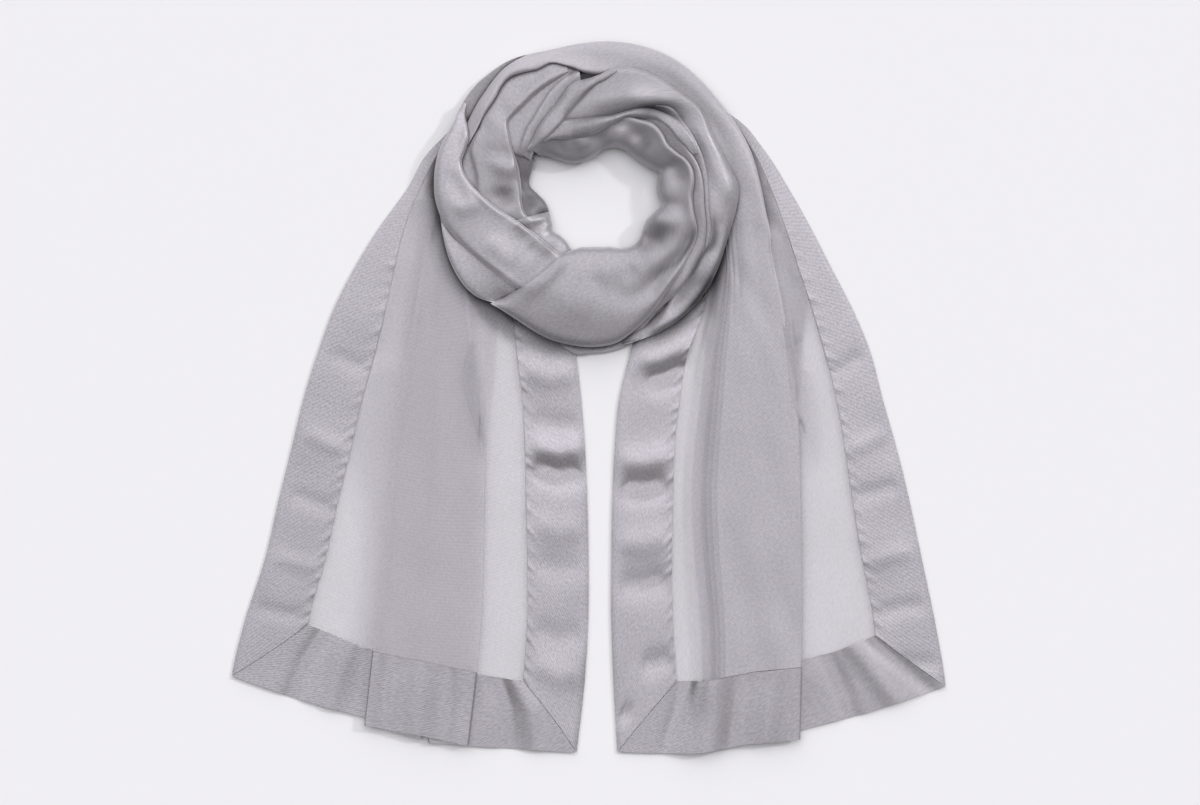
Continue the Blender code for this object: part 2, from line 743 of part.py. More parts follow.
def left_tail(field):
    sections = sections_of(LEFT_LINES, LEFT_SECTIONS)
    level_two = LAYER_PITCH
    level_three = 2 * LAYER_PITCH
    panel = [
        Stop("outer_seam", "left_fold", 0.0, 0, 275, -225.0, -357.0, -277.0, SEAM_GAP / 2),
        Stop("outer_seam", "left_fold", 0.5, 0, 246, -238.5, -288.0, -300.5),
        Stop("outer_seam", "left_fold", 0.95, 0, 234, -250.5, -226.0, -317.0),
    ]
    panel += fold("left_fold", "right_fold", 0.4, 1, 0, level_two, 190, -261.5, -166.0, -338.5)
    panel += fold("left_fold", "right_fold", 0.0, -1, level_two, level_three, 232, -251.5, -224.0, -325.5)
    panel += [Stop("left_fold", "right_fold", 0.5, 5.0, 176, -261.5, -172.0, -334.5)]
    panel += fold("right_fold", "left_fold", 0.0, 1, level_three, level_two, 122, -271.9, -120.4, -345.1)
    panel += fold("left_fold", "right_fold", 0.45, -1, level_two, 0, 184, -266.0, -160.0, -343.0)
    panel += [
        Stop("right_fold", "inner_seam", 0.1, 0, 122, -275.0, -113.0, -346.5),
        Stop("right_fold", "inner_seam", 1.0, 0, 95, -281.5, -12.5, -353.0, -SEAM_GAP / 2),
    ]
    strip(field, "left_chiffon", "chiffon", sections, panel, TAIL_ROWS, CHIFFON_WALL, SEAM_GAP / 2)
    outer = seam_pair("outer_edge", "outer_seam", -276.3, -225.0, 284, 275)
    outer[-1].shift = -SEAM_GAP / 2
    strip(field, "left_outer_satin", "satin", sections, outer, TAIL_ROWS, SATIN_WALL, SEAM_GAP)
    inner = seam_pair("inner_edge", "inner_seam", -352.5, -281.5, 66, 95)
    inner[-1].shift = SEAM_GAP / 2
    strip(field, "left_inner_satin", "satin", sections, inner, TAIL_ROWS, SATIN_WALL, SEAM_GAP)
    ends = (mitre(sections, outer), mitre(sections, inner))
    hem(field, "left_hem_satin", sections, panel, SATIN_WALL, *ends)


def right_tail(field):
    sections = sections_of(RIGHT_LINES, RIGHT_SECTIONS)
    level_two = LAYER_PITCH
    level_three = 2 * LAYER_PITCH
    panel = [
        Stop("inner_seam", "hidden_fold", 0.0, 0, 122, -281.5, 28.6, -352.5, SEAM_GAP / 2),
        Stop("inner_seam", "hidden_fold", 0.45, 0.4, 138, -281.2, 66.0, -353.2),
        Stop("inner_seam", "hidden_fold", 0.86, 4.6, 160, -280.7, 96.0, -353.4),
        Stop("hidden_fold", "pleat_fold", 0.08, 5.8, 173, -280.0, 110.0, -352.6),
        Stop("hidden_fold", "pleat_fold", 0.5, 5.2, 168.8, -272.0, 158.0, -344.0),
    ]
    panel += fold("pleat_fold", "hidden_fold", 0.0, 1, level_three, level_two, 163.5, -267.1, 210.7, -339.5)
    panel += fold("hidden_fold", "pleat_fold", 0.0, -1, level_two, 0, 158, -279.0, 108.0, -345.0)
    panel += [
        Stop("hidden_fold", "outer_seam", 0.25, 0, 188, -270.5, 158.0, -338.0),
        Stop("hidden_fold", "outer_seam", 0.5, 0, 222, -263.0, 207.0, -331.5),
        Stop("hidden_fold", "outer_seam", 0.75, 0, 258, -252.5, 275.0, -314.0),
        Stop("hidden_fold", "outer_seam", 1.0, 0, 284, -235.8, 356.5, -287.5, -SEAM_GAP / 2),
    ]
    strip(field, "right_chiffon", "chiffon", sections, panel, TAIL_ROWS, CHIFFON_WALL, SEAM_GAP / 2)
    outer = seam_pair("outer_edge", "outer_seam", -286.8, -235.8, 293, 284)
    outer[-1].shift = SEAM_GAP / 2
    strip(field, "right_outer_satin", "satin", sections, outer, TAIL_ROWS, SATIN_WALL, SEAM_GAP)
    inner = seam_pair("inner_edge", "inner_seam", -352.0, -281.5, 72, 122)
    inner[-1].shift = -SEAM_GAP / 2
    strip(field, "right_inner_satin", "satin", sections, inner, TAIL_ROWS, SATIN_WALL, SEAM_GAP)
    ends = (mitre(sections, inner), mitre(sections, outer))
    hem(field, "right_hem_satin", sections, panel, SATIN_WALL, *ends)


def main():
    clear_scene()
    field = Field()
    left_tail(field)
    right_tail(field)
    core(field)
    for row in STRETCHES:
        stretch(field, *row)


main()
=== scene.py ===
# Evening stole of sheer chiffon with satin borders, laid flat and wound once round a neck opening.
# Lengths are in millimetres unless a name says otherwise. X to the right, Y to the back, Z up.
import json
import math

import bpy
import numpy as np
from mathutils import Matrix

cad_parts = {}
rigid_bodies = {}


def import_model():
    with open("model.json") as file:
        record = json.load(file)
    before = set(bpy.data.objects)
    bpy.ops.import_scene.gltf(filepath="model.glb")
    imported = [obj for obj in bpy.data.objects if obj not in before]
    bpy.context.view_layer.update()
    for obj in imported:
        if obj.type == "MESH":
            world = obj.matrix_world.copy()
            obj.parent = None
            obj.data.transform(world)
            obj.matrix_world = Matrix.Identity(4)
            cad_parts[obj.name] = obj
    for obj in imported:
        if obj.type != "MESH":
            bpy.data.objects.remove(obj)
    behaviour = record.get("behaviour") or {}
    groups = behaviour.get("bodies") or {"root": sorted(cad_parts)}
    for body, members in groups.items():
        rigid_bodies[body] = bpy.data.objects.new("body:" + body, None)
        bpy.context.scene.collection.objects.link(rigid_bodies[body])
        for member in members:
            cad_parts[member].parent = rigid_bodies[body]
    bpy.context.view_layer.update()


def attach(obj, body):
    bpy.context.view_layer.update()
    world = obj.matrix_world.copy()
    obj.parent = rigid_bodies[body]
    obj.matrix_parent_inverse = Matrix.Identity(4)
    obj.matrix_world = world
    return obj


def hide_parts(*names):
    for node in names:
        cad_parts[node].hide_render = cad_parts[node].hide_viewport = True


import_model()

MM = 0.001
SHELL = 0.5
SEAM_GAP = 0.4
LAYER_PITCH = 3.0
CHIFFON_WALL = 1.0
SATIN_WALL = 1.4
LOOP_X = 8.0
LOOP_Y = 201.5
CORE_HEIGHT = 19.0
CLEARANCE = 0.35
CELL = 1.0
TAIL_ROWS = 110
FINE = 3
RELAX_STEPS = 400
HEM_ROWS = 22
BLEND_ROWS = 30
OVERLAY_ROWS = 60
OVERLAY_COLUMNS = 9
LENS_MM = 85
SENSOR_MM = 36
VIEW_WIDTH = 1.2
FLOOR = 12
# The pleat's top layer lies between these two places across the right panel.
TOP_LAYER = (3, 5)
FIELD_X = (-185.0, 215.0)
FIELD_Y = (-10.0, 375.0)
# Rows, wall, gap at the end and widest column of a panel and of a border.
SATIN_COLUMN = 3
PANEL_GRID = (TAIL_ROWS, CHIFFON_WALL, SEAM_GAP / 2, 4)
BORDER_GRID = (TAIL_ROWS * 2, SATIN_WALL, SEAM_GAP, SATIN_COLUMN)
# How much painted shade darkens a cloth at most where a higher fold is close.
OUTER_SATIN_SHADE = 0.3
TAIL_SHADE = 0.85
LOOP_SHADE = 0.65

# Cross sections of the left tail: x of each line at the given y.
LEFT_LINES = ("outer_edge", "outer_seam", "left_fold", "right_fold", "inner_seam", "inner_edge")
LEFT_SECTIONS = [
    # y_mm, outer_edge, outer_seam, left_fold, right_fold, inner_seam, inner_edge
    (284, -126, -118, -136, -127, -84, -19),
    (262, -146, -138, -141, -127, -84, -19),
    (249.5, -158.5, -148, -144, -127, -84, -19),
    (209.5, -182.3, -169.8, -152.6, -127, -84, -19),
    (169.5, -211, -185.3, -162, -124.6, -81.7, -19),
    (129.5, -235.3, -195, -168.9, -121.4, -78.6, -19),
    (89.5, -255.3, -203.7, -175.3, -118.1, -75.5, -18),
    (49.5, -270, -213.2, -182.2, -113.9, -72.3, -13.7),
    (-0.5, -285.5, -227, -190.3, -107.9, -66.4, -7.8),
    (-50.5, -297.5, -238.2, -196.8, -103.3, -63.8, -4),
    (-100.5, -310, -250.5, -200.5, -104, -62.6, -1.8),
    (-160.5, -324, -263.7, -207, -105, -61.4, -0.5),
    (-220.5, -343.6, -279.9, -212.5, -107.2, -61.4, -0.9),
    (-285, -358, -281.2, -218.8, -113, -65.6, -4.8),
    (-353, -358, -281.2, -218.8, -120, -65.6, -12.5),
]

# Cross sections of the right tail.
RIGHT_LINES = ("inner_edge", "inner_seam", "hidden_fold", "pleat_fold", "outer_seam", "outer_edge")
RIGHT_SECTIONS = [
    # y_mm, inner_edge, inner_seam, hidden_fold, pleat_fold, outer_seam, outer_edge
    (294, 51, 118, 129, 138, 124, 127),
    (279.5, 51, 118, 129, 144.2, 142, 149),
    (249.5, 51, 118, 129, 161.9, 163.4, 175),
    (209.5, 51, 118, 130, 173.4, 182.4, 200.4),
    (169.5, 51, 118, 131, 182.9, 197.1, 222.7),
    (129.5, 51, 118, 132, 190.6, 210.1, 243.2),
    (89.5, 51, 114.5, 126, 198.3, 223.4, 263.7),
    (49.5, 42.5, 99.8, 117.6, 204.7, 235, 280.4),
    (-0.5, 30.3, 90.5, 111.6, 208.3, 247.6, 293.6),
    (-50.5, 25.8, 85.3, 105.7, 210.9, 256.1, 307.8),
    (-100.5, 23.6, 84, 103, 211.9, 263.4, 320),
    (-160.5, 22.5, 83, 106, 212.8, 273.2, 332.7),
    (-220.5, 22.5, 83.8, 112, 212.8, 284.6, 345.3),
    (-290, 25, 88, 114, 212, 288.5, 356.5),
    (-353, 28.6, 88, 114, 210.7, 288.5, 356.5),
]

# The hidden layers inside the wound loop.
CORE_SECTIONS = [
    # turn_deg, outer_mm, inner_mm
    (0, 133, 72), (20, 136, 76), (40, 142, 67), (60, 144, 65), (80, 143, 61), (92, 141, 54),
    (105, 140, 49), (125, 144, 52), (140, 144, 68), (150, 143, 82), (165, 146, 81), (180, 144, 69),
    (195, 141, 61), (210, 137, 63), (225, 131, 66), (245, 128, 66), (262, 128, 61), (280, 126, 60),
    (300, 125, 68), (320, 123, 69), (335, 122, 65), (348, 126, 72),
]

# Outlines of the stretches of the wound loop. Hidden edges run on under a neighbour.
LOOP_TABLES = {
    "back_under_fold": [
        # turn_deg, outer_mm, inner_mm and, where the cloth slants, lean_deg
        (112, 155.5, 148), (118, 160, 147), (124, 163, 147), (130, 163.8, 148), (138, 165, 148),
        (146, 163.5, 148), (153, 160, 148),
    ],
    "front_under_fold": [
        (254, 148, 134), (262, 158, 137), (268, 155.5, 137), (275, 154, 136), (281, 151.5, 133),
        (288, 146, 130),
    ],
    "inside_left_panel": [
        (148, 108, 74), (152, 100, 71), (158, 93, 70), (165, 86, 69.5), (170, 84, 68),
        (176, 82, 60), (183, 81, 53), (190, 80, 50), (195, 79, 49.5), (201, 77, 50.5),
    ],
    "left_under_fold": [
        (150, 148, 130), (156, 150, 127), (162, 150, 122), (168, 144, 118), (174, 135, 114),
        (180, 122, 110),
    ],
    "back_fold_low": [
        (98, 134, 120), (104, 132, 116), (110, 129, 111), (116, 127, 106), (122, 125, 101),
        (128, 122, 95), (134, 121, 92), (140, 121, 89), (146, 112, 86), (152, 104, 84),
    ],
    "left_fold": [
        (103, 141, 127), (108, 148, 123.5), (115, 147, 120.5), (122, 152, 118), (130, 153, 115.5),
        (136, 148, 115.5), (141, 145, 114.5), (145, 143, 106), (150, 136.5, 98), (155, 136, 89),
        (160, 135, 83), (165, 128.5, 79.5), (170, 123, 77), (175, 120.5, 75.5), (180, 119, 75),
        (186, 108, 74.5), (192, 98, 74), (197, 90, 71.5), (202, 85, 70),
    ],
    "inside_front_strip": [
        (196.5, 86, 50), (200, 86, 50), (205, 82, 51), (210, 78, 52), (217, 76, 55.5),
        (222, 75, 54), (228, 74, 53), (236, 74, 54), (243, 72, 57.5), (250, 68, 58.5),
    ],
    "back_fold_mid": [
        (98, 128, 112), (102, 125, 109), (106, 122, 104), (110, 118.5, 98), (115, 114, 93),
        (120, 108.5, 89.5), (125, 104, 86.5), (130, 100, 84), (135, 98, 81), (140, 95, 78.5),
        (145, 92, 77), (151, 89, 76),
    ],
    "back_outer_band": [
        (-12, 177.5, 131), (-5, 169.5, 133), (0, 166, 135), (5, 163.5, 135), (10, 162, 131),
        (20, 159.5, 125.5), (30, 156.5, 125), (40, 155, 129), (50, 156.5, 127), (60, 158, 126.5),
        (70, 158, 127), (80, 157, 123), (90, 155.5, 121), (96, 154.5, 124), (103, 154, 133),
        (109, 155, 140.5), (115, 158, 139.5), (121, 159, 143.5), (127, 158.5, 147),
        (131, 156.5, 145), (136, 154, 140.5), (143, 151.5, 138.5), (151, 149, 136.5),
        (158, 147, 137.5),
    ],
    "right_band": [
        (-80, 149, 135), (-73, 148.3, 134.5), (-67, 148, 134), (-60, 147.5, 130), (-50, 145.5, 121),
        (-40, 143, 119), (-30, 139.5, 117), (-20, 136.5, 117), (-12, 137, 112), (-5, 139, 107),
        (5, 141, 105), (12, 135.5, 105), (20, 131.5, 105.5), (30, 131, 106), (40, 135, 106),
        (50, 133, 106), (60, 132.5, 95), (70, 133, 84), (80, 129.5, 75), (86, 124, 73),
        (92, 117, 72), (98, 111, 72), (105, 105, 73), (112, 96, 76), (120, 89, 73), (128, 85, 72),
        (136, 82.5, 76), (142, 82.5, 77.5),
    ],
    "right_fold_low": [
        (-30, 120.5, 114), (-22, 121.5, 110), (-15, 117, 105.5), (-8, 112.5, 101), (0, 111, 100),
        (10, 111, 99.5), (20, 111.5, 98.5), (30, 112, 94), (40, 113, 92), (50, 114, 92.5),
        (57, 107, 88),
    ],
    "right_fold_mid": [
        (-77, 141, 133), (-70, 137, 127), (-64, 131, 120), (-57, 126.5, 114), (-50, 124, 109),
        (-40, 122.5, 104.5), (-30, 120, 102), (-22, 115.5, 100), (-14, 111, 94.5),
        (-5, 106.5, 89.5), (5, 105.7, 89.5), (15, 105, 92), (25, 102.5, 87), (35, 101, 81),
        (45, 101, 84), (52, 100, 85), (60, 94, 83), (67, 88, 80),
    ],
    "front_left_under": [
        (184, 157, 149), (189, 157.2, 148), (195, 158, 142), (200, 159, 136), (205, 159.5, 130),
        (210, 159.5, 125), (215, 158.5, 121), (220, 155, 118), (225, 148, 118), (230, 142, 118),
    ],
    "left_front_band": [
        (144.5, 163.5, 160), (148, 161.7, 155), (151, 160.6, 148), (155, 161, 141),
        (160, 163, 138.5), (166, 164, 138.7), (170, 163.7, 134), (175, 162.7, 124),
        (180, 161.3, 113.5), (185, 158.3, 103), (190, 154.5, 93.5), (195, 148.5, 85.5),
        (200, 142, 80), (205, 136, 76), (210, 131, 72), (215, 127, 70), (220, 124, 69),
        (226, 122, 68), (232, 119, 68), (236, 116, 70, 4), (240, 112, 72, 6),
    ],
    "front_wrap": [
        (225, 150, 69, 13), (230, 147, 60, 13), (236, 146, 56, 11), (243, 147, 52.5, 9),
        (251, 149, 51, 6), (260, 149.5, 50, 3), (270, 149, 49.5), (278, 146, 50), (285, 138.5, 51),
        (292, 131, 54.5), (300, 122.5, 58), (308, 115.8, 60), (316, 112.5, 59.5), (325, 108.5, 56),
        (335, 107.3, 54.5), (341, 105, 56.5), (347, 99.8, 60), (354, 95.5, 65), (361, 94.5, 61),
        (369, 97.5, 60.3), (376, 98, 62.3), (382, 95.5, 66.5), (388, 90.5, 61), (396, 87, 56.5),
        (405, 90, 54.5), (413, 90.7, 54.2), (421, 87.5, 54.5), (430, 86, 53), (437, 80, 50.5),
        (445, 72, 46.5), (452, 68, 41.5), (460, 66, 38.5), (467, 66, 37.4), (475, 68, 38.3),
        (482, 72, 40), (488, 76, 43.5), (494, 78.5, 50), (499, 80, 60), (504, 80.5, 70),
    ],
    "back_inner_fold": [
        (23, 108, 104), (30, 110, 99.5), (36, 110, 97), (44, 108.8, 97.5), (52, 105, 96),
        (60, 100.5, 89.5), (65, 95.5, 86.5), (70, 90, 83), (75, 85, 76), (80, 81, 71),
        (86, 79, 65.5), (93, 78, 61.5), (101, 78, 60), (109, 80, 61), (116, 83, 63),
        (123, 82, 67.5), (129, 79, 72.5), (134, 79.5, 74.5),
    ],
    "back_lip_fold": [
        (81, 127, 124.5), (86, 122.5, 115), (90, 119.5, 111), (95, 117.5, 103.5), (100, 116, 95.5),
        (105, 111.5, 90), (110, 104, 85.5), (115, 99, 81), (120, 95.5, 78), (125, 92.5, 76.5),
        (130, 90, 76), (135, 87, 77), (140, 84.5, 77.5), (146, 83.5, 78),
    ],
}

# The stretches of the wound loop in the order they are laid.
STRETCHES = [
    # name, stations, columns, loft_mm, fold_mm, outer_rest_mm, inner_rest_mm, start_rest_mm
    ("back_under_fold", 10, 4, 1, 3, 5, 0, 0),
    ("front_under_fold", 9, 4, 0.6, 3, 3, 0, 0),
    ("inside_left_panel", 12, 5, 1.5, 4, 0, 5, 0),
    ("left_under_fold", 7, 4, 1.2, 3, 0, 0, 0),
    ("back_fold_low", 12, 5, 2.5, 4, 0, 0, 0),
    ("left_fold", 22, 6, 5, 5, 0, 0, 0),
    ("inside_front_strip", 12, 5, 2, 4, 0, 6, 0),
    ("back_fold_mid", 12, 5, 3.5, 4, 0, 0, 0),
    ("back_outer_band", 30, 6, 5, 5, 7, 0, 5.5),
    ("right_band", 38, 6, 7, 4.5, 11, 0, 0),
    ("right_fold_low", 14, 4, 3.5, 4, 0, 0, 0),
    ("right_fold_mid", 22, 4, 4, 4, 0, 0, 0),
    ("front_left_under", 11, 5, 3, 5, 12, 0, 0),
    ("left_front_band", 24, 7, 6.5, 4.5, 12, 0, 0),
    ("front_wrap", 50, 7, 6.5, 5, 14, 8, 0),
    ("back_inner_fold", 20, 4, 3, 3.5, 0, 0, 0),
    ("back_lip_fold", 15, 4, 3, 3.5, 0, 0, 0),
]

# Where a further layer of the sheer panel lies over or under the pleat.
LEFT_SEAM_LAYER = [
    # y_mm, left_mm, right_mm
    (200, -176, -148), (169.5, -184, -156), (129.5, -193.5, -163), (89.5, -202.5, -169),
    (49.5, -212, -176), (10, -222, -183), (-25.5, -228, -187), (-70.5, -223, -193),
    (-100.5, -220, -195), (-155.5, -219, -200), (-200.5, -223, -204), (-248, -229.5, -208),
]
LEFT_NARROW_FOLD = [
    (110, -126, -91.5), (74.5, -122, -92), (33.5, -117, -93.4), (-3.5, -113, -97.5),
    (-41.5, -108.5, -101.8), (-56, -107.5, -105.5),
]
LEFT_DARK_FOLD = [
    (60, -117, -114.5), (40, -122.5, -112.5), (19.5, -125, -110.5), (-5.5, -119, -108.5),
    (-30.5, -111, -105.8), (-42, -106.5, -105),
]
RIGHT_SEAM_LAYER = [
    (209.5, 166, 181.5), (169.5, 175, 196), (129.5, 183, 209), (99.5, 189, 219), (80, 192, 221),
    (60, 195, 214), (45, 197, 215), (26.5, 199, 221), (-3.5, 204, 226), (-30.5, 214, 228),
    (-63.5, 226, 229),
]
RIGHT_WEDGE = [
    (215, 164, 180), (190, 170, 188), (169.5, 175.5, 196.3), (129.5, 183.5, 209.3),
    (99.5, 189.5, 218), (70, 194, 214), (45, 199, 212), (20, 204, 212), (0, 207, 210),
]
OVERLAYS = {
    "left_chiffon": [LEFT_SEAM_LAYER, LEFT_NARROW_FOLD, LEFT_DARK_FOLD],
    "right_chiffon": [RIGHT_SEAM_LAYER, RIGHT_WEDGE],
}

# Soft creases on the loop: height (negative for a trough), half width, then the line it follows.
LOOP_CREASES = {
    "front_wrap": [
        # height_mm, half_width_mm, turn_deg and radius_mm along the line
        (-4, 6, [(261, 70), (268, 84), (275, 94), (287, 105), (300, 108), (313, 105)]),
        (-7, 5, [(293, 103), (300, 100), (310, 99), (325, 102), (338, 102), (346, 101)]),
        (-3, 11, [(276, 88), (288, 86), (300, 80)]),
        (4.5, 9, [(338, 56), (340, 66), (342, 78), (344, 88)]),
        (-4, 9, [(316, 62), (322, 70), (324, 82)]),
        (2, 9, [(240, 100), (255, 108), (270, 112)]),
        (-3, 7, [(408, 74), (418, 74), (424, 68)]),
        (3, 7, [(426, 56), (428, 66), (430, 74)]),
        (-3.5, 8, [(440, 48), (446, 56), (450, 64)]),
        (3, 6, [(462, 48), (466, 56), (470, 64)]),
        (-2, 6, [(482, 58), (490, 60)]),
        (-2.5, 8, [(366, 82), (378, 84), (388, 78)]),
    ],
    "left_front_band": [
        (-1.5, 9, [(205, 84), (215, 80), (225, 78)]),
        (2.5, 9, [(200, 116), (212, 108), (222, 102)]),
        (3, 9, [(182, 118), (184, 130), (186, 142)]),
        (-2, 8, [(170, 148), (178, 138), (186, 128)]),
    ],
    "left_fold": [
        (3.5, 8, [(163, 82), (163, 96), (162, 112)]),
        (-4, 9, [(183, 80), (181, 92), (179, 106)]),
        (2, 8, [(140, 128), (150, 118), (158, 112)]),
        (-2, 6, [(134, 124), (139, 124), (143, 120)]),
        (-1.5, 7, [(112, 134), (122, 134), (130, 132)]),
    ],
    "right_band": [
        (4, 7, [(352, 136), (0, 130), (8, 124), (20, 120), (32, 121), (40, 126)]),
        (4, 9, [(44, 127), (52, 120), (60, 112), (68, 106), (78, 100), (90, 94), (100, 90)]),
        (-2, 6, [(38, 120), (46, 115), (52, 108), (58, 99), (66, 90), (76, 82), (88, 77)]),
        (-3, 7, [(300, 138), (312, 134), (324, 132)]),
        (2.5, 5, [(292, 143), (302, 141)]),
        (-3, 6, [(330, 130), (342, 128), (352, 124)]),
    ],
    "back_outer_band": [
        (2, 9, [(150, 144), (138, 146), (125, 152), (112, 150)]),
        (-2, 8, [(112, 147), (98, 142), (86, 136)]),
        (2, 10, [(95, 148), (75, 146), (55, 146), (35, 146)]),
        (-2, 8, [(40, 140), (20, 140), (0, 148), (352, 156)]),
    ],
    "back_lip_fold": [(1.5, 4, [(90, 115), (105, 101), (120, 87)])],
    "back_inner_fold": [(1.5, 4, [(60, 96), (76, 80), (90, 72), (104, 70), (118, 74)])],
    "inside_left_panel": [(-3, 6, [(160, 78), (175, 72), (188, 66)])],
}

# The cloths. Their base is a share of the tint.
LILAC = np.array((1.01, 0.965, 1.04))
CLOTHS = {
    # base, roughness, alpha, sheen, grain, relief_mm, threads, shine
    "sheer_chiffon": (0.60, 0.75, 0.42, 0.1, 0.14, 0.07, 170, 0.0),
    "dense_chiffon_1": (0.44, 0.5, 0.55, 0.1, 0.14, 0.08, 170, 0.15),
    "dense_chiffon_2": (0.44, 0.5, 0.70, 0.1, 0.14, 0.08, 170, 0.15),
    "dense_chiffon_3": (0.44, 0.5, 0.85, 0.1, 0.14, 0.08, 170, 0.15),
    "dense_chiffon_4": (0.44, 0.5, 1.0, 0.1, 0.14, 0.08, 170, 0.15),
    "wound_chiffon": (0.345, 0.42, 1.0, 0.2, 0.18, 0.08, 170, 0.35),
    # A darker copy of the wound chiffon for the panel inside the opening: painted shade.
    "painted_shade_inner_chiffon": (0.19, 0.5, 1.0, 0.2, 0.15, 0.08, 170, 0.3),
    "satin": (0.41, 0.27, 1.0, 0.1, 0.2, 0.18, 140, 0.5),
    # The hems are a darker copy of the satin: painted shade for the weaker sheen of their turned
    # weave.
    "hem_satin": (0.37, 0.27, 1.0, 0.1, 0.2, 0.18, 140, 0.5),
    # A lighter copy of the chiffon for the edge columns of the loop's stretches: a painted highlight
    # on the fold edges.
    "painted_highlight_rim": (0.44, 0.5, 1.0, 0.2, 0.05, 0.03, 170, 0.1),
}

# How light each piece is beside the others of its cloth: painted light on the bands above 1; the left
# outer satin is a little darker.
TONES = {
    "left_outer_satin": 0.92,
    "left_front_band": 1.3,
    "front_left_under": 1.25,
    "right_band": 1.1,
}

# Painted shade and painted light between the folds: share (negative is painted shade, positive is
# painted light), half width, then the line.
PAINTED_SHADING_LINES = [
    # share, half_width_mm, turn_deg and radius_mm along the line
    (-0.60, 5, [(66, 94), (60, 99), (54, 104), (48, 110), (42, 114), (37, 116)]),
    (-0.50, 4.5, [(122, 82), (113, 79), (95, 76), (77, 85), (61, 102), (50, 117), (43, 124)]),
    (-0.22, 9, [(112, 104), (95, 105), (80, 109), (66, 116)]),
    (-0.45, 8, [(212, 86), (220, 78), (228, 73), (236, 69)]),
    (-0.35, 8, [(216, 162), (230, 161), (240, 161), (252, 158), (264, 154)]),
    (-0.30, 5, [(320, 148), (312, 163), (308, 176), (305, 190)]),
    (0.30, 6, [(297, 128), (304, 127), (311, 126)]),
    (0.20, 6, [(343, 126), (349, 123), (355, 120)]),
    (-0.60, 3, [(346, 101), (341, 104), (333, 104), (322, 103), (312, 99), (300, 101)]),
    (-0.55, 3.5, [(356, 115), (342, 123), (338, 124), (329, 119), (319, 123), (312, 126)]),
    (-0.55, 4.5, [(357, 140), (342, 137), (334, 138), (324, 140), (314, 143), (304, 146), (293, 147)]),
    (-0.30, 7, [(289, 151), (300, 152), (310, 151)]),
    (-0.40, 3.5, [(333, 140), (315, 165), (311, 173)]),
    (-0.40, 10, [(172, 92), (180, 92), (188, 88)]),
    (-0.45, 9, [(176, 68), (184, 68), (192, 64)]),
    (-0.25, 8, [(198, 84), (206, 82), (214, 78)]),
    (-0.15, 8, [(210, 98), (220, 96)]),
    (0.25, 8, [(218, 126), (228, 124), (236, 120)]),
    (-0.42, 10, [(304, 66), (318, 69), (330, 73), (342, 77)]),
    (0.25, 7, [(350, 126), (2, 121), (14, 119), (24, 118)]),
    (-0.25, 8, [(356, 140), (12, 138), (28, 139), (44, 141), (60, 140), (76, 138)]),
    (-0.15, 16, [(20, 146), (60, 146), (100, 146)]),
    (-0.35, 8, [(42, 72), (48, 71), (54, 72)]),
    (0.30, 8, [(66, 66), (74, 66), (82, 68)]),
    (-0.25, 8, [(94, 60), (104, 62), (114, 66)]),
    (-0.50, 5, [(98, 126), (104, 126)]),
    (0.30, 6, [(140, 84), (150, 80), (158, 76)]),
    (-0.14, 10, [(238, 134), (255, 133), (272, 132), (288, 132)]),
    (-0.35, 11, [(308, 145), (318, 143), (328, 138)]),
    (0.18, 7, [(358, 74), (12, 74), (26, 76)]),
    (0.20, 7, [(58, 112), (66, 110), (74, 106)]),
]

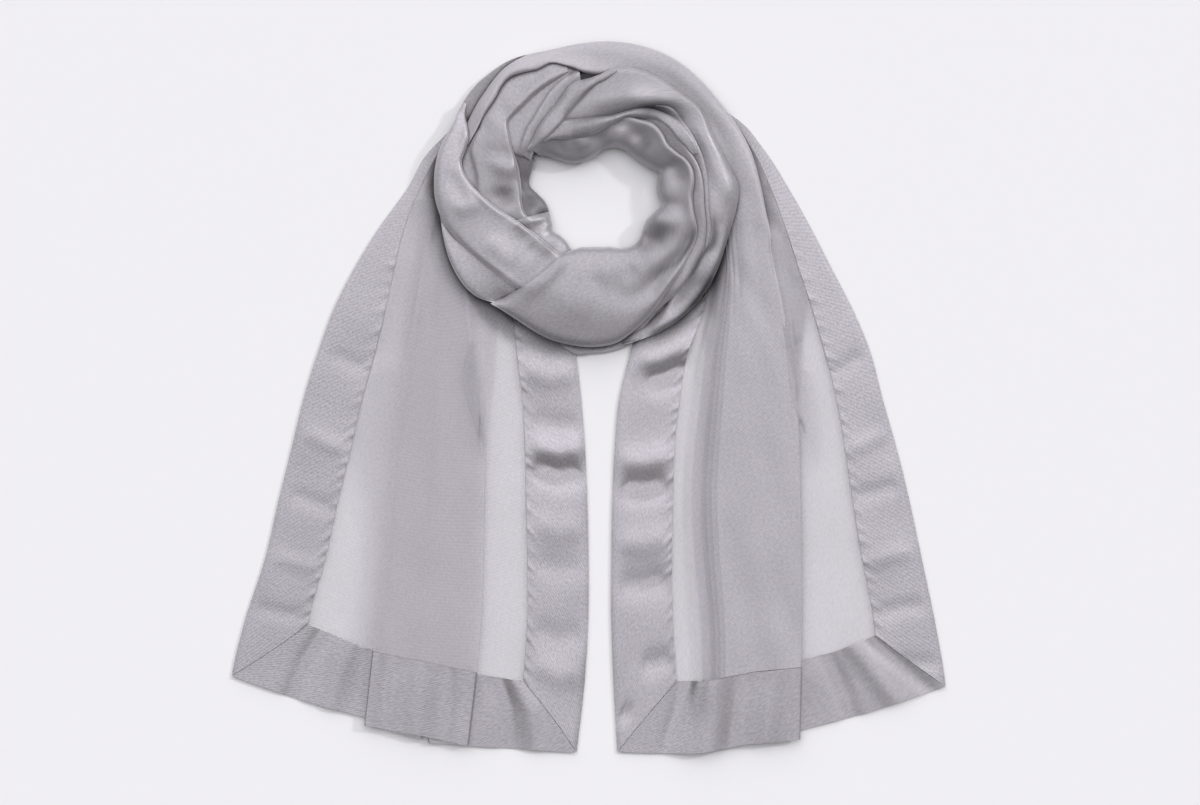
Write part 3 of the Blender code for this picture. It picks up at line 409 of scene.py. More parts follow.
# Soft creases on the tails, in plan.
TAIL_CREASES = {
    "left_inner_satin": [
        # height_mm, half_width_mm, x_mm and y_mm along the line
        (-0.8, 10, [(-62, -20), (-30, -28), (-4, -26)]),
        (-1.9, 9, [(-60, -66), (-32, -78), (-2, -72)]),
        (1.6, 9, [(-60, -46), (-30, -52), (-4, -46)]),
        (-0.6, 10, [(-60, -226), (-30, -240), (-3, -232)]),
        (0.6, 10, [(-58, -120), (-30, -132), (-4, -126)]),
        (-0.4, 9, [(-58, -160), (-30, -170), (-4, -166)]),
        (0.6, 9, [(-58, -262), (-30, -276), (-6, -272)]),
        (0.8, 9, [(-70, 34), (-40, 22), (-10, 28)]),
    ],
    "right_inner_satin": [
        (1.8, 9, [(118, 62), (96, 52), (70, 40), (44, 36)]),
        (-2, 10, [(104, 34), (80, 22), (54, 14)]),
        (1.5, 9, [(84, -54), (58, -62), (28, -62)]),
        (-1.7, 9, [(82, -84), (56, -92), (28, -90)]),
        (-0.8, 9, [(84, -256), (66, -264), (50, -262)]),
        (-0.7, 8, [(44, -316), (30, -312)]),
        (0.8, 10, [(82, -134), (54, -144), (26, -142)]),
        (-0.9, 10, [(82, -176), (54, -186), (26, -184)]),
    ],
    "left_outer_satin": [
        (1.2, 8, [(-286, -30), (-262, -44), (-240, -52)]),
        (-1.2, 8, [(-300, -92), (-272, -104), (-252, -110)]),
        (1, 8, [(-318, -156), (-290, -164), (-266, -170)]),
        (-1, 8, [(-336, -206), (-306, -214), (-282, -216)]),
        (-1, 8, [(-262, 48), (-236, 36), (-214, 28)]),
    ],
    "right_outer_satin": [
        (1.2, 8, [(300, -30), (276, -44), (254, -52)]),
        (-1.4, 8, [(312, -84), (286, -92), (262, -98)]),
        (1.2, 8, [(326, -150), (300, -156), (274, -164)]),
        (-1.4, 8, [(340, -204), (312, -208), (284, -216)]),
        (-1.2, 8, [(276, 48), (252, 30), (232, 20)]),
        (-1.2, 8, [(352, -262), (330, -264), (306, -258)]),
    ],
    "left_hem_satin": [
        (-1.4, 7, [(-250, -210), (-282, -262), (-310, -330)]),
        (1.2, 8, [(-230, -216), (-250, -276), (-266, -336)]),
        (-1.2, 8, [(-192, -234), (-200, -290), (-208, -354)]),
        (1, 8, [(-166, -232), (-170, -300), (-174, -360)]),
        (-1.2, 8, [(-140, -242), (-144, -302), (-148, -370)]),
        (-1.4, 7, [(-100, -254), (-84, -306), (-76, -382)]),
        (1.2, 7, [(-86, -256), (-58, -312), (-46, -384)]),
    ],
    "right_hem_satin": [
        (-1.6, 8, [(100, -252), (92, -316), (76, -384)]),
        (1.2, 8, [(128, -252), (124, -316), (116, -384)]),
        (-1.4, 8, [(154, -250), (150, -310), (142, -374)]),
        (1.2, 8, [(184, -242), (180, -306), (176, -370)]),
        (-1.4, 7, [(222, -230), (250, -286), (274, -346)]),
        (1.2, 8, [(246, -222), (286, -274), (326, -326)]),
        (-1.2, 6, [(256, -222), (312, -266), (360, -306)]),
    ],
    "left_chiffon": [
        (1.2, 12, [(-180, 60), (-196, 0), (-214, -60), (-222, -150)]),
        (1.4, 10, [(-100, 70), (-92, 0), (-84, -80), (-82, -200)]),
        (1.5, 9, [(-230, -120), (-244, -170), (-254, -220)]),
        (1.4, 8, [(-146, 60), (-150, -20), (-152, -120)]),
    ],
    "right_chiffon": [
        (1.6, 9, [(196, 80), (208, 44), (218, 10), (226, -20)]),
        (-1.2, 9, [(206, 66), (216, 40), (226, 8)]),
        (1.4, 12, [(150, 120), (152, 40), (158, -60), (160, -200)]),
        (1.5, 10, [(180, 100), (188, 20), (190, -80)]),
        (1.2, 10, [(236, -60), (244, -130), (254, -210)]),
        (1.4, 9, [(98, -20), (94, -90), (96, -180)]),
    ],
}


def ease(t):
    """A slow start and a slow end between 0 and 1."""
    return t * t * (3 - 2 * t)


def hermite(t, span, a, b, slope_a, slope_b):
    """A smooth curve from a to b with these slopes at its ends."""
    start = (2 * t**3 - 3 * t**2 + 1) * a + (t**3 - 2 * t**2 + t) * span * slope_a
    end = (3 * t**2 - 2 * t**3) * b + (t**3 - t**2) * span * slope_b
    return start + end


def walked(points, axis):
    """How far each point is along its row or column of a grid, or along its line."""
    step = np.linalg.norm(np.diff(points, axis=axis), axis=-1)
    nought = np.zeros_like(step.take([0], axis))
    return np.concatenate([nought, np.cumsum(step, axis=axis)], axis=axis)


def resample(table, count):
    """A table's rows spread evenly along the stretch and joined by a smooth curve."""
    rows = np.array([(*row, 0)[:4] for row in table], float)
    middle = (rows[:, 1] + rows[:, 2]) / 2
    angle = np.radians(rows[:, 0])
    step = np.hypot(np.diff(middle * np.cos(angle)), np.diff(middle * np.sin(angle)))
    reach = np.concatenate([[0.0], np.cumsum(step)])
    slope = np.gradient(rows, reach, axis=0)
    found = []
    for at in np.linspace(0, reach[-1], count):
        k = min(int(np.searchsorted(reach, at, side="right")) - 1, len(reach) - 2)
        span = reach[k + 1] - reach[k]
        t = (at - reach[k]) / span
        found.append(hermite(t, span, rows[k], rows[k + 1], slope[k], slope[k + 1]))
    return np.array(found)


def polar(turn, radius):
    """Plan position of a place on the loop, counterclockwise from the right."""
    angle = math.radians(turn)
    return LOOP_X + radius * math.cos(angle), LOOP_Y + radius * math.sin(angle)


def crease_height(x, y, creases):
    """Soft ridges and troughs that follow lines in plan and fade out at their ends."""
    total = np.zeros(np.shape(x))
    for height, half_width, line in creases:
        line = np.array(line, float)
        step = np.hypot(*np.diff(line, axis=0).T)
        reach = np.concatenate([[0.0], np.cumsum(step)])
        nearest = np.full(np.shape(x), 1e9)
        along = np.zeros(np.shape(x))
        for k in range(len(step)):
            dx, dy = line[k + 1] - line[k]
            t = ((x - line[k, 0]) * dx + (y - line[k, 1]) * dy) / step[k] ** 2
            t = np.clip(t, 0, 1)
            away = np.hypot(x - line[k, 0] - t * dx, y - line[k, 1] - t * dy)
            closer = away < nearest
            nearest = np.where(closer, away, nearest)
            along = np.where(closer, reach[k] + t * step[k], along)
        share = along / reach[-1]
        fade = np.clip(np.minimum(share, 1 - share) * 4, 0, 1)
        fade = ease(fade) * 0.85 + 0.15
        total += height * fade * np.exp(-((nearest / half_width) ** 2))
    return total


def polar_creases(rows):
    return [(height, width, [polar(*point) for point in line]) for height, width, line in rows]


def soft_waves(x, y, seed, spacing):
    """A slow uneven swell between 0 and 1, the same at every layer above one spot."""
    rng = np.random.default_rng(seed)
    total = np.zeros(np.shape(x))
    for _ in range(7):
        angle = rng.uniform(0, math.pi)
        size = spacing * rng.uniform(0.7, 1.6)
        phase = rng.uniform(0, 2 * math.pi)
        total += np.sin((x * math.cos(angle) + y * math.sin(angle)) * 2 * math.pi / size + phase)
    return 0.5 + total / 10


class Field:
    """Height of what has been laid so far, on a square grid."""

    def __init__(self):
        self.nx = int((FIELD_X[1] - FIELD_X[0]) / CELL) + 1
        self.ny = int((FIELD_Y[1] - FIELD_Y[0]) / CELL) + 1
        self.height = np.zeros((self.nx, self.ny))

    def cover(self, corners):
        """Cells under a triangle and the share of each corner there."""
        x = (corners[:, 0] - FIELD_X[0]) / CELL
        y = (corners[:, 1] - FIELD_Y[0]) / CELL
        area = (x[1] - x[0]) * (y[2] - y[0]) - (x[2] - x[0]) * (y[1] - y[0])
        i0, i1 = max(math.floor(x.min()), 0), min(math.ceil(x.max()), self.nx - 1)
        j0, j1 = max(math.floor(y.min()), 0), min(math.ceil(y.max()), self.ny - 1)
        if abs(area) < 1e-9 or i1 < i0 or j1 < j0:
            return None
        i, j = np.meshgrid(np.arange(i0, i1 + 1), np.arange(j0, j1 + 1), indexing="ij")
        second = ((i - x[0]) * (y[2] - y[0]) - (x[2] - x[0]) * (j - y[0])) / area
        third = ((x[1] - x[0]) * (j - y[0]) - (i - x[0]) * (y[1] - y[0])) / area
        share = np.stack([1 - second - third, second, third], axis=-1)
        inside = share.min(axis=-1) > -0.02
        return i[inside], j[inside], share[inside]

    def cells(self, x, y):
        """Indices of the cells nearest to these places."""
        i = np.clip(np.round((x - FIELD_X[0]) / CELL).astype(int), 0, self.nx - 1)
        j = np.clip(np.round((y - FIELD_Y[0]) / CELL).astype(int), 0, self.ny - 1)
        return i, j

    def lay(self, points, faces):
        """Raises the field to a surface."""
        for face in faces:
            found = self.cover(points[face])
            if found is None:
                continue
            i, j, share = found
            z = share @ points[face][:, 2]
            np.maximum.at(self.height, (i, j), z)

    def needed(self):
        """Least height of the next layer: what is there, widened by about a cell."""
        wide = self.height.copy()
        for di, dj in [(1, 0), (-1, 0), (0, 1), (0, -1), (1, 1), (-1, 1), (1, -1), (-1, -1)]:
            wide = np.maximum(wide, np.roll(self.height, (di, dj), axis=(0, 1)))
        return wide + CLEARANCE


def grid_triangles(rows, columns):
    i, j = np.meshgrid(np.arange(rows - 1), np.arange(columns - 1), indexing="ij")
    a = (i * columns + j).ravel()
    b = a + columns
    return np.vstack([np.column_stack([a, b, b + 1]), np.column_stack([a, b + 1, a + 1])])


def settle(field, plan, faces, rest, shape):
    """Heights at which a stretch rests on what is under it, taut between the places it touches."""
    rows, columns = rest.shape
    need = field.needed()
    flat = plan.reshape(-1, 2)
    cells, corners, shares = [], [], []
    for face in faces:
        found = field.cover(np.column_stack([flat[face], np.zeros(3)]))
        if found is None:
            continue
        cells.append(need[found[0], found[1]])
        corners.append(np.tile(face, (len(found[0]), 1)))
        shares.append(found[2])
    cells = np.concatenate(cells)
    corners = np.concatenate(corners)
    shares = np.clip(np.concatenate(shares), 0, 1)
    weight = shares / (shares**2).sum(axis=1, keepdims=True)

    def lift(z):
        short = np.maximum(cells - (z.ravel()[corners] * shares).sum(axis=1), 0)
        extra = np.zeros(rows * columns)
        np.maximum.at(extra, corners.ravel(), (short[:, None] * weight).ravel())
        return z + extra.reshape(rows, columns)

    under = np.maximum(need[field.cells(*flat.T)].reshape(rows, columns), rest)
    z = under.copy()
    for _ in range(RELAX_STEPS):
        z[1:-1, 1:-1] = (z[2:, 1:-1] + z[:-2, 1:-1] + z[1:-1, 2:] + z[1:-1, :-2]) / 4
        z = np.maximum(z, under)
    z = lift(z) + shape
    for _ in range(3):
        z = lift(z)
        z[1:-1, 1:-1] = 0.5 * z[1:-1, 1:-1] + 0.125 * (
            z[2:, 1:-1] + z[:-2, 1:-1] + z[1:-1, 2:] + z[1:-1, :-2]
        )
    return lift(z)


def stretch_grid(field, name, stations, columns, loft_mm, fold_mm, *rests):
    """Points of one visible stretch of the loop, laid on everything under it."""
    outer_rest, inner_rest, start_rest = rests
    stations = stations * FINE
    columns = columns * FINE + 1
    rows = resample(LOOP_TABLES[name], stations)
    plan = np.zeros((stations, columns, 2))
    across = np.linspace(0, 1, columns)
    across = across + 0.6 * np.sin(2 * math.pi * (across - 0.5)) / (2 * math.pi)
    for i, (turn, outer, inner, lean) in enumerate(rows):
        for j, share in enumerate(across):
            radius = inner + (outer - inner) * share
            plan[i, j] = polar(turn + lean * (1 - share), radius)
    faces = grid_triangles(stations, columns)
    rest = np.zeros((stations, columns))
    rest[:, -1] = outer_rest
    rest[:, 0] = inner_rest
    rest[0] = np.maximum(rest[0], start_rest)
    along = np.linspace(0, 1, stations)[:, None]
    fade = np.minimum(1, np.minimum(along, 1 - along) * 8) ** 0.5
    width = (rows[:, 1] - rows[:, 2])[:, None]
    from_edge = np.minimum(across, 1 - across) * width
    turned = np.clip(from_edge / np.minimum(fold_mm, width / 2), 0, 1)
    edge = np.sqrt(1 - (1 - turned) ** 2)
    crown = 0.8 + 0.2 * 4 * across * (1 - across)
    shape = loft_mm * np.minimum(1, width / 15) * fade * edge * crown
    creases = polar_creases(LOOP_CREASES.get(name, []))
    shape = shape + crease_height(plan[..., 0], plan[..., 1], creases) * edge
    low = settle(field, plan, faces, rest, shape)
    points = np.dstack([plan, low + SHELL / 2])
    field.lay(points.reshape(-1, 3) + (0, 0, SHELL / 2), faces)
    return points


def core_height(field):
    """Lays the ring of hidden layers into the field. The ring itself is the CAD node."""
    lift = [(0.0, 0.0), (0.0, 0.5), (0.05, 0.78), (0.2, 0.95), (0.5, 1.0), (0.8, 0.93), (0.94, 0.72)]
    lift += [(1.0, 0.42)]
    rows = np.array(CORE_SECTIONS, float)
    turns = np.linspace(0, 360, 41)
    outer = np.interp(turns, rows[:, 0], rows[:, 1], period=360)
    inner = np.interp(turns, rows[:, 0], rows[:, 2], period=360)
    points = []
    for turn, far, near in zip(turns, outer, inner):
        for share, height in lift:
            x, y = polar(turn, near + (far - near) * share)
            points.append((x, y, CORE_HEIGHT * height))
    field.lay(np.array(points), grid_triangles(len(turns), len(lift)))


class Stop:
    """One place across a tail: its line, height above the surface, and where it meets the hem."""

    def __init__(self, line, next_line, share, level, top_y, seam_y, hem_x, hem_y, shift=0.0):
        self.line = line
        self.next_line = next_line
        self.share = share
        self.level = level
        self.top_y = top_y
        self.seam_y = seam_y
        self.hem_x = hem_x
        self.hem_y = hem_y
        self.shift = shift

    def x(self, sections, y):
        first = np.interp(y, *sections[self.line])
        second = np.interp(y, *sections[self.next_line])
        return first + (second - first) * self.share + self.shift


def fold(line, next_line, share, side, level_from, level_to, top_y, seam_y, hem_x, hem_y):
    """A rounded turn of the cloth. Side is 1 where it bulges to the right."""
    found = []
    middle = (level_from + level_to) / 2
    radius = abs(level_to - level_from) / 2
    for k in range(9):
        angle = math.pi * k / 8
        level = middle + (level_from - middle) * math.cos(angle)
        shift = side * radius * (math.sin(angle) - 1)
        found.append(Stop(line, next_line, share, level, top_y, seam_y, hem_x, hem_y, shift))
    return found


def smooth_line(y, x, ys):
    """A curve through the table's points with no kink at each row."""
    slope = np.gradient(x, y)
    k = np.clip(np.searchsorted(y, ys, side="right") - 1, 0, len(y) - 2)
    span = y[k + 1] - y[k]
    t = np.clip((ys - y[k]) / span, 0, 1)
    return hermite(t, span, x[k], x[k + 1], slope[k], slope[k + 1])


def sections_of(lines, table):
    """Each line of a tail as a curve: its y and its x."""
    rows = np.array(table, float)[::-1]
    ys = np.linspace(rows[0, 0], rows[-1, 0], 320)
    return {line: (ys, smooth_line(rows[:, 0], rows[:, k + 1], ys)) for k, line in enumerate(lines)}


def spread(middle, widest):
    """Adds columns so that none is wider than this, and tells where each stop now is."""
    columns = [middle[:, :1]]
    places = [0]
    for j in range(middle.shape[1] - 1):
        a, b = middle[:, j], middle[:, j + 1]
        wide = np.median(np.hypot(b[:, 0] - a[:, 0], b[:, 2] - a[:, 2]))
        count = max(1, int(math.ceil(wide / widest)))
        for k in range(1, count + 1):
            f = k / count
            point = a + (b - a) * f
            if count > 2:
                point[:, 2] = a[:, 2] + (b[:, 2] - a[:, 2]) * ease(f)
            columns.append(point[:, None])
        places.append(places[-1] + count)
    return np.concatenate(columns, axis=1), places


def strip_grid(sections, stops, rows, thickness, end_gap, widest):
    """A piece of a tail from the loop down to the hem seam or the mitre."""
    middle = np.zeros((rows, len(stops), 3))
    for j, stop in enumerate(stops):
        y = stop.top_y + np.linspace(0, 1, rows) * (stop.seam_y + end_gap - stop.top_y)
        middle[:, j, 0] = stop.x(sections, y)
        middle[:, j, 1] = y
        middle[:, j, 2] = stop.level + thickness / 2
    return spread(middle, widest)


def mitre(sections, border):
    """The slanting end of a border strip, from its seam to its free edge."""
    return np.array([(stop.x(sections, stop.seam_y), stop.seam_y) for stop in border[::-1]])


def hem_grid(sections, stops, thickness, first_end, last_end, widest):
    """The border across the end of a tail, folded with the pleat above it."""
    down = np.linspace(0, 1, HEM_ROWS)
    middle = np.zeros((HEM_ROWS, len(stops), 3))
    for j, stop in enumerate(stops):
        top_y = stop.seam_y - SEAM_GAP / 2
        top_x = stop.x(sections, top_y)
        middle[:, j, 0] = top_x + down * (stop.hem_x + stop.shift - top_x)
        middle[:, j, 1] = top_y + down * (stop.hem_y - top_y)
        middle[:, j, 2] = stop.level + thickness / 2
    inward = math.copysign(SEAM_GAP / 2, middle[0, -1, 0] - middle[0, 0, 0])
    for j, end, side in ((0, first_end, inward), (-1, last_end, -inward)):
        steps = np.linspace(0, 1, len(end))
        middle[:, j, 0] = np.interp(down, steps, end[:, 0]) + side
        middle[:, j, 1] = np.interp(down, steps, end[:, 1]) - SEAM_GAP / 2
    return spread(middle, widest)


def seam_pair(line, next_line, end_far, end_near, top_far, top_near):
    """Stops of a border strip from its free edge to its seam."""
    found = []
    for share in (0, 1 / 3, 2 / 3, 1):
        top = top_far + (top_near - top_far) * share
        end = end_far + (end_near - end_far) * share
        found.append(Stop(line, next_line, share, 0.0, top, end, 0, 0))
    return found


def left_tail():
    """The four pieces of the left tail. The numbers say where each place meets loop and hem."""
    sections = sections_of(LEFT_LINES, LEFT_SECTIONS)
    two = LAYER_PITCH
    three = 2 * LAYER_PITCH
    panel = [
        Stop("outer_seam", "left_fold", 0.0, 0, 275, -225.0, -357.0, -277.0, SEAM_GAP / 2),
        Stop("outer_seam", "left_fold", 0.5, 0, 246, -238.5, -288.0, -300.5),
        Stop("outer_seam", "left_fold", 0.95, 0, 234, -250.5, -226.0, -317.0),
    ]
    panel += fold("left_fold", "right_fold", 0.424, 1, 0, two, 190, -261.5, -166.0, -338.5)
    panel += fold("left_fold", "right_fold", 0.0, -1, two, three, 232, -251.5, -224.0, -325.5)
    panel += [Stop("left_fold", "right_fold", 0.5, 5.2, 176, -261.5, -172.0, -334.5)]
    panel += fold("right_fold", "left_fold", 0.0, 1, three, two, 122, -271.9, -120.4, -345.1)
    panel += fold("left_fold", "right_fold", 0.426, -1, two, 0, 184, -266.0, -160.0, -343.0)
    panel += [
        Stop("right_fold", "inner_seam", 0.1, 0, 122, -275.0, -113.0, -346.5),
        Stop("right_fold", "inner_seam", 1.0, 0, 95, -281.5, -12.5, -353.0, -SEAM_GAP / 2),
    ]
    outer = seam_pair("outer_edge", "outer_seam", -276.3, -225.0, 284, 275)
    outer[-1].shift = -SEAM_GAP / 2
    inner = seam_pair("inner_edge", "inner_seam", -352.5, -281.5, 66, 95)
    inner[-1].shift = SEAM_GAP / 2
    ends = (mitre(sections, outer), mitre(sections, inner))
    return {
        "left_chiffon": strip_grid(sections, panel, *PANEL_GRID),
        "left_outer_satin": strip_grid(sections, outer, *BORDER_GRID),
        "left_inner_satin": strip_grid(sections, inner, *BORDER_GRID),
        "left_hem_satin": hem_grid(sections, panel, SATIN_WALL, *ends, SATIN_COLUMN),
    }


def right_tail():
    """The four pieces of the right tail, in the same way."""
    sections = sections_of(RIGHT_LINES, RIGHT_SECTIONS)
    two = LAYER_PITCH
    three = 2 * LAYER_PITCH
    panel = [
        Stop("inner_seam", "hidden_fold", 0.0, 0, 122, -281.5, 28.6, -352.5, SEAM_GAP / 2),
        Stop("inner_seam", "hidden_fold", 0.45, 0.4, 138, -281.2, 66.0, -353.2),
        Stop("inner_seam", "hidden_fold", 0.86, 4.6, 160, -280.7, 96.0, -353.4),
        Stop("hidden_fold", "pleat_fold", 0.08, 5.8, 173, -280.0, 110.0, -352.6),
        Stop("hidden_fold", "pleat_fold", 0.5, 5.2, 168.8, -272.0, 158.0, -344.0),
    ]
    panel += fold("pleat_fold", "hidden_fold", 0.0, 1, three, two, 163.5, -267.1, 210.7, -339.5)
    panel += fold("hidden_fold", "pleat_fold", 0.0, -1, two, 0, 158, -279.0, 108.0, -345.0)
    panel += [
        Stop("hidden_fold", "outer_seam", 0.25, 0, 188, -270.5, 158.0, -338.0),
        Stop("hidden_fold", "outer_seam", 0.5, 0, 222, -263.0, 207.0, -331.5),
        Stop("hidden_fold", "outer_seam", 0.75, 0, 258, -252.5, 275.0, -314.0),
        Stop("hidden_fold", "outer_seam", 1.0, 0, 284, -235.8, 356.5, -287.5, -SEAM_GAP / 2),
    ]
    outer = seam_pair("outer_edge", "outer_seam", -286.8, -235.8, 293, 284)
    outer[-1].shift = SEAM_GAP / 2
    inner = seam_pair("inner_edge", "inner_seam", -352.0, -281.5, 72, 122)
    inner[-1].shift = -SEAM_GAP / 2
    ends = (mitre(sections, inner), mitre(sections, outer))
    return {
        "right_chiffon": strip_grid(sections, panel, *PANEL_GRID),
        "right_outer_satin": strip_grid(sections, outer, *BORDER_GRID),
        "right_inner_satin": strip_grid(sections, inner, *BORDER_GRID),
        "right_hem_satin": hem_grid(sections, panel, SATIN_WALL, *ends, SATIN_COLUMN),
    }


def pucker(points, columns_from_seam, spacing, height, reach, seed):
    """Small gathers beside a seam: short ridges across it that die out into the cloth."""
    line = points[:, columns_from_seam]
    total = walked(points[..., :2], 1)
    away = np.abs(total - total[:, [columns_from_seam]])
    walk = walked(line[:, :2], 0)
    rng = np.random.default_rng(seed)
    marks = np.cumsum(rng.uniform(0.65, 1.35, 200)) * spacing
    heights = rng.uniform(0.3, 1.0, 200)
    lean = rng.uniform(-0.35, 0.35, 200)
    shape = np.zeros(points.shape[:2])
    room = np.clip((total[:, -1:] - 22) / 25, 0, 1)
    for mark, tall, slant in zip(marks, heights, lean):
        if mark > walk[-1]:
            break
        offset = walk[:, None] - mark - slant * away
        shape += tall * np.exp(-((offset / (spacing * 0.22)) ** 2)) * np.exp(-((away / reach) ** 1.5))
    points[..., 2] += height * shape * room


def hanging_folds(x, y, seed):
    """Soft folds that fan out from the loop towards the hem, from 0 to 1."""
    rng = np.random.default_rng(seed)
    fan = np.arctan2(x, 430 - y)
    total = np.zeros(np.shape(x))
    for turns in (57, 83, 121):
        drift = 0.9 * np.sin(y / rng.uniform(60, 110) + rng.uniform(0, 6))
        swell = 0.6 + 0.4 * np.sin(y / rng.uniform(70, 120) + rng.uniform(0, 6))
        total += swell * np.sin(fan * turns + drift + rng.uniform(0, 6))
    return 0.5 + total / 6


def dress_tail(name, points):
    """The swell, creases and puckers of one piece of a tail."""
    x, y = points[..., 0], points[..., 1]
    satin = name.endswith("satin")
    extra = soft_waves(x, y, seed=5, spacing=90) * (1.0 if satin else 0.8)
    if satin:
        ripple = soft_waves(x, y, seed=9, spacing=45)
        extra = extra + ripple * (0.25 if "inner" in name else 0.1)
    else:
        extra = extra + hanging_folds(x, y, seed=4) * 2.2
    depth = 0.7 if "outer" in name else 1.9 if satin else 1.0
    broad = 1.35 if "outer" not in name else 1.0
    rows = [(height, width * broad, line) for height, width, line in TAIL_CREASES.get(name, [])]
    creases = crease_height(x, y, rows) * depth
    extra = extra + creases + (1.2 if satin else 0.4)
    if name.endswith("outer_satin") or name.endswith("inner_satin"):
        across = walked(points[..., :2], 1)
        free = 0.4 + 0.6 * ease(np.clip(across / 6, 0, 1))
        extra = extra * free * np.clip(across[:, -1:] / 45, 0.2, 1)
    points[..., 2] += np.maximum(extra, 0)
    if name.endswith("outer_satin") or name.endswith("inner_satin"):
        pucker(points, -1, spacing=15, height=1.1, reach=8, seed=len(name))
    if name.endswith("hem_satin"):
        turned = points.transpose(1, 0, 2).copy()
        pucker(turned, 0, spacing=19, height=0.3, reach=8, seed=len(name))
        points[...] = turned.transpose(1, 0, 2)
    points[..., 2] = np.maximum(points[..., 2], SHELL / 2 + 0.05)
    return points


def measure(points):
    """Mean length along, mean width across and area of a grid of points, in metres."""
    along = np.linalg.norm(np.diff(points, axis=0), axis=2).sum(axis=0).mean() * MM
    across = np.linalg.norm(np.diff(points, axis=1), axis=2).sum(axis=1).mean() * MM
    a, b = points[:-1, :-1], points[1:, :-1]
    c, d = points[1:, 1:], points[:-1, 1:]
    area = np.linalg.norm(np.cross(c - a, d - b), axis=2).sum() / 2 * MM * MM
    return across, along, area


def cloth_object(name, grids, shaders, nodes, thick=True):
    """One piece of cloth made of one or more grids of points, each with its shader's number."""
    points, quads, kinds, uv, tones = [], [], [], [], []
    start = 0
    width, length, area = 0.0, 0.0, 0.0
    for grid, kind in grids:
        rows, columns = grid.shape[:2]
        i, j = np.meshgrid(np.arange(rows - 1), np.arange(columns - 1), indexing="ij")
        a = (start + i * columns + j).ravel()
        faces = np.column_stack([a, a + columns, a + columns + 1, a + 1])
        middle = rows // 2
        normal = np.cross(grid[middle + 1, 0] - grid[middle, 0], grid[middle, 1] - grid[middle, 0])
        if normal[2] < 0:
            faces = faces[:, ::-1]
        points.append(grid.reshape(-1, 3) * MM)
        quads.append(faces)
        kind = np.asarray(kind)
        kind = kind.reshape(-1, 1) if kind.ndim < 2 else kind
        kinds.append(np.broadcast_to(kind, (rows - 1, columns - 1)).ravel())
        uv.append(np.dstack([walked(grid, 1), walked(grid, 0)]).reshape(-1, 2) * MM)
        # Painted shade and painted light along the listed lines, scaled by the piece's tone.
        painted_line_shading = crease_height(grid[..., 0], grid[..., 1], polar_creases(PAINTED_SHADING_LINES))
        tones.append(np.clip(TONES.get(name, 1.0) * (1 + painted_line_shading), 0.15, 1.6).ravel())
        start += rows * columns
        across, along, part = measure(grid)
        width, length, area = max(width, across), max(length, along), area + part
    quads, uv = np.vstack(quads), np.vstack(uv)
    mesh = bpy.data.meshes.new(name + "_cloth")
    mesh.from_pydata(np.vstack(points).tolist(), [], quads.tolist())
    mesh.polygons.foreach_set("use_smooth", np.ones(len(quads), bool))
    mesh.polygons.foreach_set("material_index", np.concatenate(kinds).astype(int))
    layer = mesh.uv_layers.new(name="cloth")
    corners = np.zeros(len(mesh.loops), int)
    mesh.loops.foreach_get("vertex_index", corners)
    layer.data.foreach_set("uv", uv[corners].ravel())
    # The painted shade and painted light ride on the mesh as a point attribute.
    tone_and_painted_shading = mesh.attributes.new("tone_and_painted_shading", "FLOAT", "POINT")
    tone_and_painted_shading.data.foreach_set("value", np.concatenate(tones))
    for shader in shaders:
        mesh.materials.append(shader)
    mesh.update()
    ends = np.zeros(len(mesh.edges) * 2, int)
    mesh.edges.foreach_get("vertices", ends)
    ends = np.sort(ends.reshape(-1, 2), axis=1)
    sides = np.sort(np.vstack([quads[:, [k, (k + 1) % 4]] for k in range(4)]), axis=1)
    known, uses = np.unique(sides[:, 0] * len(uv) + sides[:, 1], return_counts=True)
    border = known[uses == 1]
    sharp = mesh.attributes.new("sharp_edge", "BOOLEAN", "EDGE")
    sharp.data.foreach_set("value", np.isin(ends[:, 0] * len(uv) + ends[:, 1], border))
    item = bpy.data.objects.new(name + "_cloth", mesh)
    bpy.context.scene.collection.objects.link(item)
    if thick:
        shell = item.modifiers.new("thickness", "SOLIDIFY")
        shell.thickness = SHELL * MM
        shell.offset = 0.0
    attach(item, "root")
    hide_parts(*nodes)
    width = max(width, area / length)
    area = min(area, width * length)


def set_inputs(tree, node, inputs):
    """Gives inputs of a node a constant each, or the output of another node."""
    for key, value in inputs.items():
        if isinstance(value, bpy.types.NodeSocket):
            tree.links.new(value, node.inputs[key])
        else:
            node.inputs[key].default_value = value
    return node


def add_node(tree, kind, inputs, operation=None):
    node = tree.nodes.new("ShaderNode" + kind)
    if operation:
        node.operation = operation
    return set_inputs(tree, node, inputs)


def map_range(tree, value, from_low, from_high, to_low, to_high):
    spans = {"From Min": from_low, "From Max": from_high, "To Min": to_low, "To Max": to_high}
    return add_node(tree, "MapRange", {"Value": value, **spans})


def new_material(name):
    made = bpy.data.materials.new(name)
    made.use_nodes = True
    return made, made.node_tree, made.node_tree.nodes["Principled BSDF"]


